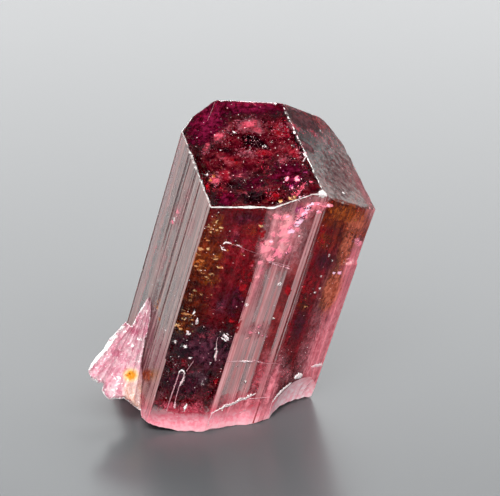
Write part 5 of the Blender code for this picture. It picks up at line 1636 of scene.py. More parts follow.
right.cloud(P4, (310, 300), (14, 90), LEANING, (0.06, 0.5), 130, (0.06, 0.28), (0.10, 0.32), (0.1, 0.8), hard=True, clump=(9, 0.8, 0.0), wave=12, lit=0.8)
right.cloud(P4, (289, 372), (9, 16), LEANING, (0.06, 0.45), 80, (0.07, 0.24), (0.38, 0.52), (0.1, 0.6), wave=10, lit=0.9)
# orange-pink right edge
right.cloud(P5, (352, 226), (5, 16), LEANING, (0.06, 0.7), 90, (0.08, 0.30), (0.84, 0.94), (0.2, 0.8), wave=8, tilt=8, lit=0.9)
right.cloud(P5, (333, 292), (4, 22), LEANING, (0.06, 0.7), 120, (0.08, 0.30), (0.82, 0.94), (0.2, 0.8), wave=8, tilt=8, lit=0.9)
right.cloud(P5, (350, 290), (6, 90), LEANING, (0.06, 1.0), 240, (0.08, 0.34), (0.38, 0.50), (0.3, 0.9), hard=True, clump=(10, 0.9, -0.2), wave=8, tilt=8, lit=0.9)
right.cloud(P5, (358, 240), (4, 4), LEANING, (0.06, 0.5), 30, (0.10, 0.30), (0.42, 0.56), (0.5, 1.0), wave=4, tilt=5, lit=1.0)
right.cloud(P5, (350, 250), (5, 9), 25, (0.10, 0.5), 60, (0.08, 0.28), (0.0, 0.16), (0.0, 0.2), wave=18, clump=(11, 1.4, 0.0))
right.cloud(P5, (322, 345), (8, 20), LEANING, (0.05, 0.7), 90, (0.08, 0.28), (0.42, 0.60), (0.2, 0.7), wave=8, tilt=8, lit=0.9)
right.cloud(P5, (334, 273), (1.6, 1.4), 0, (0.03, 0.12), 6, (0.10, 0.18), (0.62, 0.80), (0.9, 1.0), wave=1, tilt=3, lit=1.0, margin=0.02)
right.cloud(P5, (339.5, 273), (1.2, 1.0), 0, (0.03, 0.12), 6, (0.10, 0.18), (0.64, 0.74), (0.9, 1.0), wave=1, tilt=3, lit=1.0, margin=0.02)
# hair cracks
right.trail(P3, ((222, 410), (224, 406), (229, 405), (233, 404), (238, 401), (241, 399), (246, 399), (250, 396), (256, 393)), (0.05, 0.10), 0.20, (0.09, 0.19), (0.62, 0.73), (0.0, 0.4), 0.30)
right.trail(P3, ((212, 414), (218, 411), (222, 408), (226, 406)), (0.05, 0.10), 0.4, (0.08, 0.14), (0.50, 0.66), (0.0, 0.4), 0.25)
right.trail(P3, ((250, 399), (262, 397), (272, 397)), (0.05, 0.10), 0.6, (0.06, 0.12), (0.50, 0.62), (0.0, 0.4), 0.30)
right.trail(P3, ((228, 361), (244, 362), (256, 361), (262, 363), (275, 363), (290, 365)), (0.05, 0.12), 0.5, (0.05, 0.11), (0.52, 0.64), (0.0, 0.4), 0.25)
right.trail(P3, ((243, 361), (248, 361.5), (252, 362)), (0.05, 0.10), 0.35, (0.09, 0.16), (0.62, 0.72), (0.0, 0.4), 0.25)
right.trail(P3, ((268, 262), (276, 265), (290, 269)), (0.04, 0.10), 0.45, (0.06, 0.12), (0.50, 0.60), (0.0, 0.4), 0.20)
right.trail(P5, ((322, 364), (330, 365), (338, 366)), (0.04, 0.10), 0.35, (0.06, 0.14), (0.60, 0.70), (0.0, 0.4), 0.35)
right.trail(P5, ((328, 276), (340, 273), (352, 269)), (0.04, 0.12), 0.5, (0.06, 0.15), (0.44, 0.62), (0.2, 0.9), 0.4)
finish_flakes(right)

# Under the left face and the right cap face
left = Flakes("veils_left", 504)
P1, F2 = "left_front", "cap2"
for c, sp, cnt, hue in (
    ((178, 215), (4, 10), 24, (0.36, 0.52)), ((186, 226), (5, 9), 24, (0.40, 0.74)), ((197, 238), (3, 8), 16, (0.36, 0.52)),
    ((162, 262), (4, 12), 18, (0.40, 0.56)), ((170, 192), (3, 12), 18, (0.40, 0.52)), ((157, 303), (4, 6), 16, (0.60, 0.80)),
    ((176, 250), (5, 12), 20, (0.34, 0.56)), ((165, 330), (5, 8), 16, (0.56, 0.72)), ((152, 360), (7, 14), 30, (0.34, 0.48)),
    ((160, 395), (6, 12), 30, (0.44, 0.60)),
):
    left.cloud(P1, c, sp, LEANING, (0.05, 0.6), cnt, (0.06, 0.24), hue, (0.3, 0.9), wave=10, tilt=8, lit=0.9)
for c in ((165.5, 329), (166, 333.5), (197, 219), (188, 199), (200, 222), (151, 396), (144, 388), (185, 217)):
    left.cloud(P1, c, (1.0, 1.2), 0, (0.04, 0.12), 4, (0.08, 0.14), (0.62, 0.72), (0.9, 1.0), wave=1, tilt=3, lit=1.0, margin=0.02)
left.cloud(P1, (152, 361), (0.9, 0.9), 0, (0.04, 0.10), 6, (0.10, 0.16), (0.10, 0.13), (0.0, 0.0), wave=8, margin=0.02)
left.cloud(P1, (178, 240), (18, 110), LEANING, (0.05, 0.6), 90, (0.035, 0.10), (0.55, 0.74), (0.5, 1.0), wave=5, tilt=10, hard=True, lit=1.0)
left.cloud(F2, (300, 129), (9, 3), 38, (0.06, 0.40), 40, (0.07, 0.24), (0.36, 0.50), (0.1, 0.7), wave=12, lit=0.7)
left.cloud(F2, (314, 133), (9, 3), 42, (0.06, 0.40), 40, (0.07, 0.24), (0.38, 0.56), (0.1, 0.7), wave=12, lit=0.7)
left.cloud(F2, (343, 165), (10, 3), 45, (0.06, 0.50), 40, (0.07, 0.24), (0.38, 0.52), (0.1, 0.7), wave=12, lit=0.7)
left.cloud(F2, (330, 150), (24, 46), -35, (0.06, 0.6), 90, (0.06, 0.30), (0.26, 0.46), (0.05, 0.6), hard=True, clump=(13, 0.9, 0.0), wave=12, lit=0.6)
for c in ((349, 194), (331, 148), (339, 158), (303, 115), (291, 110), (365, 199), (368, 208), (324, 162), (316, 126), (345, 169)):
    left.cloud(F2, c, (0.8, 0.9), 0, (0.03, 0.10), 4, (0.07, 0.12), (0.62, 0.72), (0.9, 1.0), wave=1, tilt=3, lit=1.0, margin=0.02)
left.trail(F2, ((334, 176), (338, 180), (342, 184)), (0.04, 0.10), 0.4, (0.06, 0.12), (0.62, 0.72), (0.2, 0.8), 0.3)
left.trail(F2, ((309, 128), (313, 131), (317, 134)), (0.04, 0.10), 0.35, (0.07, 0.14), (0.52, 0.62), (0.2, 0.8), 0.4)
left.trail(F2, ((312, 150), (322, 153), (330, 155)), (0.04, 0.10), 0.5, (0.06, 0.12), (0.48, 0.60), (0.2, 0.8), 0.5)
# faces away from the camera: the same veils carried round
for name, seed in (("right_back", 1), ("back", 2), ("left_back", 3), ("left", 4), ("back_right", 5)):
    i = NAMES.index(name)
    rng = left.rng
    count = {"right_back": 500, "back": 560, "left_back": 380, "left": 180, "back_right": 180}[name]
    p, q = CORNERS[i], CORNERS[(i + 1) % len(PRISM)]
    t, z, d = rng.uniform(0, 1, count), rng.uniform(0.5, 21, count), rng.uniform(0.10, 1.0, count)
    xy = p + (q - p) * t[:, None] - PRISM_N[i, :2] * d[:, None]
    at = to_row(np.column_stack([xy, z]))
    keep = (clearance(at) > 0.10) & (swirl(at, 950 + seed, 0.8)[:, 0] > -0.15)
    at, d = at[keep], d[keep]
    n = len(at)
    aim = T @ PRISM_N[i] + swirl(at, 70, 1.3) * 0.20 + rng.normal(0, 0.12, (n, 3))
    aim /= np.linalg.norm(aim, axis=1)[:, None]
    hue = np.where(rng.uniform(0, 1, n) < 0.30, rng.uniform(0.42, 0.74, n), rng.uniform(0.13, 0.40, n))
    left.add(at, 0.06 * 6.0 ** rng.uniform(0, 1, n) ** 1.6, aim, hue, rng.uniform(0.2, 1.0, n), 1.6)
finish_flakes(left)

# --------------------------------------------------------------------------------------------------------------------
# The spray of small pale crystals that stands on the left face
# --------------------------------------------------------------------------------------------------------------------
# Its outline in the frame, clockwise from the tip: the plate, the two blunt lobes, the foot and the edge on the face
FAN_EDGE = (
    (149.6, 297.3), (148.2, 297.6), (146.6, 299.6), (143.0, 305.6), (139.0, 312.2), (135.2, 319.2), (132.3, 325.6),
    (130.6, 326.3), (129.0, 324.4), (127.2, 323.6), (125.6, 321.9), (123.6, 324.0), (121.6, 325.6), (120.4, 327.6),
    (117.4, 330.6), (115.2, 333.2), (112.4, 336.2), (110.0, 338.2), (108.0, 341.4), (105.6, 345.0), (103.6, 349.0),
    (101.0, 352.0), (97.4, 355.6), (94.8, 358.6), (92.4, 362.0), (90.0, 366.2), (88.6, 369.6), (88.8, 372.6),
    (90.0, 375.4), (91.2, 378.6), (94.0, 380.8), (95.6, 380.6), (97.2, 382.6), (99.6, 383.3), (101.6, 382.4),
    (103.6, 383.9), (102.8, 387.0), (101.9, 390.4), (103.9, 394.2), (106.0, 397.2), (108.2, 398.9), (111.7, 399.8),
    (114.4, 398.9), (118.5, 398.5), (121.4, 398.9), (123.5, 398.3), (125.8, 399.9), (128.2, 401.2), (130.2, 403.6),
    (132.4, 404.6), (134.4, 406.6), (136.4, 407.7), (138.4, 409.6), (141.0, 410.2), (141.4, 402.4), (141.2, 394.4),
    (141.8, 386.4), (142.3, 378.4), (141.9, 370.3), (141.2, 364.7), (142.0, 356.7), (143.6, 351.0), (145.2, 342.2),
    (145.8, 337.4), (147.9, 330.2), (148.5, 325.3), (150.2, 319.7), (150.1, 316.5), (150.9, 310.0), (150.6, 300.6),
)
# Points of its front in the frame and where they are, from the base centre (mm)
FAN_TIES = (
    (148.5, 297.0, -4.00, -1.72, 8.59), (139.0, 312.0, -4.64, -2.69, 7.89), (125.0, 322.5, -5.69, -2.23, 6.80),
    (109.0, 336.0, -6.81, -2.91, 6.08), (98.0, 350.0, -7.56, -3.65, 5.35), (89.3, 366.2, -8.14, -4.57, 4.56),
    (92.0, 378.0, -7.95, -4.93, 3.80), (99.6, 382.8, -7.42, -5.05, 3.48), (102.0, 391.7, -7.25, -5.26, 2.88),
    (111.0, 399.4, -6.62, -5.46, 2.37), (122.5, 398.0, -5.82, -5.25, 2.36), (127.0, 402.0, -5.52, -5.14, 1.97),
    (135.0, 408.0, -4.96, -5.15, 1.48), (141.7, 409.6, -4.49, -5.05, 1.29), (149.3, 317.7, -3.93, -2.57, 7.37),
    (147.0, 335.0, -4.11, -2.88, 6.14), (143.0, 361.0, -4.42, -3.27, 4.25), (141.0, 405.0, -4.56, -4.58, 1.39),
)
FAN_HUB = np.array([153.0, 291.0])  # where the small crystals fan out from, in the frame
# Across the fan, degrees from straight down, and how far each ridge stands forward (mm)
FAN_RIDGES = (
    (2.0, -0.05), (6.6, 0.02), (9.6, 0.16), (11.6, 0.07), (14.2, 0.24), (16.4, 0.12), (18.6, 0.26), (20.6, 0.40),
    (23.0, 0.22), (25.2, 0.27), (27.6, 0.04), (29.4, 0.24), (31.6, 0.30), (33.4, 0.46), (36.2, 0.38), (38.4, 0.56),
    (41.2, 0.22), (44.0, -0.10), (50.0, -0.20),
)


def within(points, poly):
    """Even-odd test of points against a polygon."""
    out = np.zeros(len(points), bool)
    for (x0, y0), (x1, y1) in zip(poly, np.roll(poly, -1, axis=0)):
        crossing = (y0 > points[:, 1]) != (y1 > points[:, 1])
        if y0 != y1:
            out ^= crossing & (points[:, 0] < (x1 - x0) * (points[:, 1] - y0) / (y1 - y0) + x0)
    return out


def edge_distance(points, path):
    """Distance from points to a polyline."""
    path = np.asarray(path, float)
    best = np.full(len(points), 1e9)
    for a, b in zip(path[:-1], path[1:]):
        d = b - a
        t = np.clip((points - a) @ d / (d @ d), 0, 1)
        best = np.minimum(best, np.linalg.norm(points - a - t[:, None] * d, axis=1))
    return best


def quadratic(px):
    x, y = (px[:, 0] - 120) / 30, (px[:, 1] - 355) / 50
    return np.column_stack([np.ones(len(px)), x, y, x * x, x * y, y * y])


def fan_points():
    rng = np.random.default_rng(606)
    edge = np.array(FAN_EDGE)
    # finer outline, with small chips
    ring = []
    for a, b in zip(edge, np.roll(edge, -1, axis=0)):
        steps = max(1, int(round(np.linalg.norm(b - a) / 1.1)))
        for k in range(steps):
            ring.append(a + (b - a) * k / steps + (rng.normal(0, 0.16, 2) if k else 0))
    ring = np.array(ring)
    inner, edges = [], []
    for angle, _ in FAN_RIDGES[1:-2]:
        a = math.radians(angle)
        d = np.array([-math.sin(a), math.cos(a)])
        prev = None
        for r in np.arange(6.0, 130.0, 1.15):
            p = FAN_HUB + d * r
            if not within(p[None], ring)[0] or edge_distance(p[None], np.vstack([ring, ring[:1]]))[0] < 0.6:
                prev = None
                continue
            inner.append(p)
            if prev is not None:
                edges.append((prev, len(inner) - 1))
            prev = len(inner) - 1
    ridge = np.array(inner)
    grid = np.stack(np.meshgrid(np.arange(86, 153, 0.95), np.arange(295, 412, 0.95)), -1).reshape(-1, 2)
    grid = grid + rng.uniform(-0.28, 0.28, grid.shape)
    grid = grid[within(grid, ring)]
    grid = grid[edge_distance(grid, np.vstack([ring, ring[:1]])) > 0.55]
    near = np.concatenate([np.linalg.norm(part[:, None] - ridge[None], axis=2).min(1) for part in np.array_split(grid, 8)])
    grid = grid[near > 0.55]
    return ring, triangulate(ring, np.concatenate([ridge, grid]), edges)


def build_fan():
    rng = np.random.default_rng(607)
    ring, (px, tris) = fan_points()
    n, rim = len(px), len(ring)
    ties = np.array(FAN_TIES)
    far = ((ties[:, 2:] + SHIFT - EYE) * rays(ties[:, :2])).sum(1)
    fit = np.linalg.lstsq(quadratic(ties[:, :2]), far, rcond=None)[0]
    away = quadratic(px) @ fit
    rel = px - FAN_HUB
    r, angle = np.linalg.norm(rel, axis=1), np.degrees(np.arctan2(-rel[:, 0], rel[:, 1]))
    # each small crystal wanders a little along its length
    wander = 0.5 * smooth_noise(r * 0.045, 71) + 0.25 * smooth_noise(r * 0.13, 72)
    knots, heights = np.array(FAN_RIDGES).T
    relief = np.interp(angle + wander, knots, heights)
    # broken steps along the ridges
    for lo, hi, at, drop in ((19, 27.5, 62, 0.10), (9, 14.5, 74, -0.10), (28, 34, 70, 0.08), (14, 19, 88, 0.10), (34, 38.4, 58, 0.08), (9, 20, 48, -0.07)):
        inside = (angle + wander > lo) & (angle + wander < hi) & (r > at + 2.0 * smooth_noise(angle * 2.0, int(at)))
        relief = relief - drop * inside
    fine = 0.035 * np.abs(smooth_noise((angle + wander) * 1.9, 73)) * np.clip((r - 14) / 20, 0, 1)
    crumble = swirl(np.column_stack([px * 0.30, np.zeros(n)]), 74, 1.0)
    lower = np.array([p for p in FAN_EDGE if p[1] > 376 and p[0] < 141.2])
    low_d = edge_distance(px, lower)
    rough = np.exp(-low_d / 5.0)
    relief = relief * np.clip(r / 40, 0.25, 1) + fine + 0.03 * crumble[:, 0] + 0.13 * rough * crumble[:, 1]
    relief = relief - 0.30 * np.exp(-((low_d / 1.6) ** 2))
    # notches cut into the plate along the upper left
    plate = angle + wander > 38.4
    for x, y, size, drop in ((127.5, 325.5, 2.6, 0.25), (117.5, 333.5, 3.6, 0.30), (112.5, 337.0, 2.2, 0.12)):
        block = (np.abs((px[:, 0] - x) * 0.72 + (px[:, 1] - y) * 0.70) < size) & plate
        relief = relief - drop * block
    outer = edge_distance(px, np.vstack([ring, ring[:1]]))
    relief = relief - 0.10 * np.exp(-outer / 0.7)
    front = away - relief
    # thin at the plate and the tip, thicker at the lobes, and closed against the face of the main crystal
    thick = 0.30 + 1.25 * np.clip((39.5 - angle) / 14, 0, 1) * np.clip((r - 8) / 45, 0.12, 1)
    thick = thick * np.clip(outer / 5.0, 0.28, 1) + 0.10 * np.abs(crumble[:, 2])
    back = front + thick
    normal, at = PANES["left_front"]
    ray = rays(px)
    to_face = ((at - EYE) @ normal) / (ray @ normal)
    sunk = to_face + 0.05 / np.abs(ray @ normal)
    front = np.minimum(front, to_face - 0.10)
    back = np.minimum(back, sunk)
    on_root = (angle < 12) & (px[:, 1] < 411)
    root = np.clip((13 - angle) / 5, 0, 1) * on_root
    back = back * (1 - root) + np.where(root > 0, np.minimum(sunk, front + 2.6), back) * root
    back = np.maximum(back, front + 0.06)
    verts = np.concatenate([EYE + ray * front[:, None], EYE + ray * back[:, None]])
    tris = np.array(tris)
    i, j = np.arange(rim), (np.arange(rim) + 1) % rim
    walls = np.concatenate([np.column_stack([i, j, j + n]), np.column_stack([i, j + n, i + n])])
    # the frame's y runs down, so the front turns over
    allt = np.concatenate([tris[:, ::-1], tris + n, walls])
    # white: pale broken ends, with painted highlights along the edges and outline and painted glints in spots
    outline = FAN_EDGE[6:31]
    line = edge_distance(px, FAN_EDGE[1:7])
    right_line = edge_distance(px, FAN_EDGE[60:])
    white_and_glint = np.exp(-((line / 0.9) ** 2)) * 0.9 + 0.55 * np.exp(-((right_line / 0.7) ** 2))
    band_mask = np.clip((angle + wander - 38.0) / 0.6, 0, 1) * (px[:, 1] > 326)
    pinkish = np.maximum.reduce([spot(px, 128.0, 325.5, 4.0, 3.2), spot(px, 118.0, 333.0, 4.2, 3.4, -40), 0.6 * spot(px, 111.0, 339.5, 2.4, 2.0)])
    white_and_glint = np.maximum(white_and_glint, band_mask * (1 - pinkish))
    white_and_glint = np.maximum(white_and_glint, 0.55 * np.exp(-((edge_distance(px, outline) / 0.8) ** 2)))
    white_and_glint = np.maximum(white_and_glint, 0.70 * np.exp(-((low_d / (1.1 + 0.7 * crumble[:, 0])) ** 2)))
    for x, y, w, h, turn, v in (
        (118, 378, 4.2, 3.4, -40, 1.0), (114.5, 389, 6.0, 4.5, 0, 0.55), (139.4, 339.4, 2.2, 1.6, 0, 1.0), (133.0, 345.6, 2.2, 1.8, -30, 1.0),
        (126.6, 359, 1.9, 1.6, 0, 0.8), (143.8, 337.4, 1.2, 1.6, 0, 0.8), (128.6, 343, 1.6, 1.2, 0, 0.5), (112, 360, 4.0, 2.0, -35, 0.45),
        (97, 378, 5.0, 2.4, 20, 0.5), (121.5, 349, 2.0, 1.4, 0, 0.4), (146.5, 311.5, 1.8, 2.4, 0, 0.6), (122, 384, 3.0, 3.4, 0, 0.5),
    ):
        white_and_glint = np.maximum(white_and_glint, 0.62 * v * spot(px, x, y, w, h, turn))
    rosy = np.zeros(n)
    for x, y, w, h, turn, v in (
        (118, 354, 9.0, 4.4, -38, 0.95), (139, 321, 3.6, 7.0, 22, 0.9), (135.5, 331.5, 5.4, 5.0, 0, 1.0), (104, 364.5, 9.5, 2.6, -38, 0.8),
        (110, 372, 6.0, 2.0, -45, 0.55), (128, 369, 3.0, 6.0, 20, 0.3), (92, 370, 2.2, 4.0, 20, 0.55), (146, 332, 2.0, 6.0, 12, 0.5),
        (128.0, 325.5, 3.4, 2.8, 0, 0.55), (118.0, 333.0, 3.6, 2.8, -40, 0.45), (105, 384, 2.6, 5.0, 30, 0.45), (137, 398, 3.0, 7.0, 20, 0.25),
    ):
        rosy = np.maximum(rosy, v * spot(px, x, y, w, h, turn))
    # dark seams between the small crystals
    for path, width, v in (
        (((133, 325), (122, 338), (110, 352), (98, 365)), 0.9, 0.85), (((121, 352), (110, 364), (98, 375)), 0.8, 0.8),
        (((120, 368), (112, 378), (105, 388)), 0.9, 0.8), (((141, 318), (137, 334), (132, 350)), 0.8, 0.6),
        (((146, 306), (141, 322)), 0.7, 0.6), (((127, 352), (124, 372), (119, 392)), 0.8, 0.5), (((137, 376), (133, 392), (131, 402)), 0.8, 0.5),
    ):
        rosy = np.maximum(rosy, v * np.exp(-((edge_distance(px, path) / width) ** 2)))
    peach = np.clip((px[:, 0] - 121) / 6, 0, 1) * np.clip((px[:, 1] - 376) / 12, 0, 1)
    stain_and_reflection = np.exp(-1.1 * (((px[:, 0] - 131.0) / 8.6) ** 2 + ((px[:, 1] - 375.2) / 7.6) ** 2))
    dark = np.maximum(spot(px, 149.2, 299.6, 1.5, 3.4, -8), 0.7 * spot(px, 148.4, 304.0, 1.4, 2.2))
    dark = np.maximum(dark, spot(px, 129.5, 373.6, 1.15, 1.0))
    layers = {"white_and_glint": white_and_glint, "rosy": rosy, "peach": peach, "stain_and_reflection": stain_and_reflection, "dark": dark}
    obj = fast_mesh("side_crystals", verts, allt, {k: np.concatenate([v, v]) for k, v in layers.items()}, "POINT")
    bm = bmesh.new()
    bm.from_mesh(obj.data)
    bmesh.ops.recalc_face_normals(bm, faces=bm.faces[:])
    loose = sum(1 for e in bm.edges if not e.is_manifold)
    print("fan faces", len(bm.faces), "open", loose, "volume mm3", bm.calc_volume() * 1e9)
    bm.to_mesh(obj.data)
    bm.free()
    obj.data.shade_smooth()
    obj.data.set_sharp_from_angle(angle=math.radians(16))
    return obj


def fan_material():
    """Milky pale pink, with white broken ends and painted white highlights and glints, a peach foot and a rusty stain.
    """
    mat, n = material("tourmaline_pale")
    p = n.p.inputs
    here = n.crystal()
    white_and_glint, rosy, peach, stain_and_reflection, dark = (n.attr(k) for k in ("white_and_glint", "rosy", "peach", "stain_and_reflection", "dark"))
    grain = n.noise(here, scale=4.2, detail=4, rough=0.6)
    blade = n.noise(n.crystal((2.2, 2.2, 1.4)), scale=1.3, detail=3, rough=0.55)
    crack = n.voronoi(here, scale=3.0, feature="DISTANCE_TO_EDGE")
    pale = n.mix(n.step(blade, 0.32, 0.64), (0.86, 0.36, 0.47), (0.97, 0.66, 0.71))
    deep = n.mix(n.step(grain, 0.34, 0.64), (0.42, 0.060, 0.14), (0.88, 0.26, 0.38))
    col = n.mix(n.math("MULTIPLY", rosy, n.step(grain, 0.20, 0.50)), pale, deep)
    col = n.mix(peach, col, n.mix(n.step(grain, 0.40, 0.62), (0.92, 0.50, 0.38), (1.0, 0.74, 0.62)))
    rust = n.mix(n.step(n.math("MULTIPLY_ADD", grain, 0.35, stain_and_reflection), 0.70, 1.05), (0.98, 0.66, 0.32), (0.84, 0.33, 0.020))
    facet = n.voronoi(n.crystal((1, 1, 0.55)), scale=1.9, out="Color")
    split = n.nt.nodes.new("ShaderNodeSeparateXYZ")
    n.link(facet, split.inputs[0])
    shard = n.voronoi(here, scale=5.0, out="Color")
    split2 = n.nt.nodes.new("ShaderNodeSeparateXYZ")
    n.link(shard, split2.inputs[0])
    col = n.mix(n.math("MULTIPLY", n.step(split.outputs[0], 0.55, 0.95), 0.50), col, (0.98, 0.80, 0.83))
    col = n.mix(n.math("MULTIPLY", n.step(split.outputs[1], 0.55, 0.95), 0.55), col, (0.66, 0.16, 0.27))
    crisp = n.noise(here, scale=7.5, detail=3, rough=0.65, distortion=0.5)
    mottle = n.math("MULTIPLY_ADD", n.math("SUBTRACT", split2.outputs[0], 0.5), 0.75, n.math("MULTIPLY", n.math("SUBTRACT", crisp, 0.5), 1.6))
    # pale breaks with painted glints and highlights, from the white mask
    pale_and_glint = n.step(n.math("ADD", mottle, white_and_glint), 0.36, 0.60)
    col = n.mix(pale_and_glint, col, (0.98, 0.96, 0.95))
    col = n.mix(n.step(n.math("MULTIPLY_ADD", grain, 0.25, stain_and_reflection), 0.30, 0.80), col, rust)
    col = n.mix(dark, col, (0.10, 0.008, 0.020))
    n.put(p["Base Color"], col)
    clear = n.math("MULTIPLY_ADD", n.math("MAXIMUM", pale_and_glint, n.math("MAXIMUM", stain_and_reflection, dark)), -0.40, 0.46)
    n.put(p["Transmission Weight"], n.math("MAXIMUM", n.math("MULTIPLY_ADD", n.step(crack, 0.10, 0.0), -0.15, clear), 0.03))
    n.put(p["Roughness"], n.mixf(pale_and_glint, 0.14, 0.34))
    p["IOR"].default_value = 1.60
    cell = n.voronoi(n.crystal((1, 1, 0.6)), scale=2.2, randomness=1.0)
    n.put(p["Normal"], n.bump(grain, 0.03, 0.45, n.bump(cell, 0.10, 0.55, n.bump(n.noise(n.crystal((7, 7, 2.0)), detail=2), 0.016, 0.5))))
    absorb(n, (0.01, 0.09, 0.06))
    return mat


fan = build_fan()
fan.data.materials.append(fan_material())
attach(fan, "root")


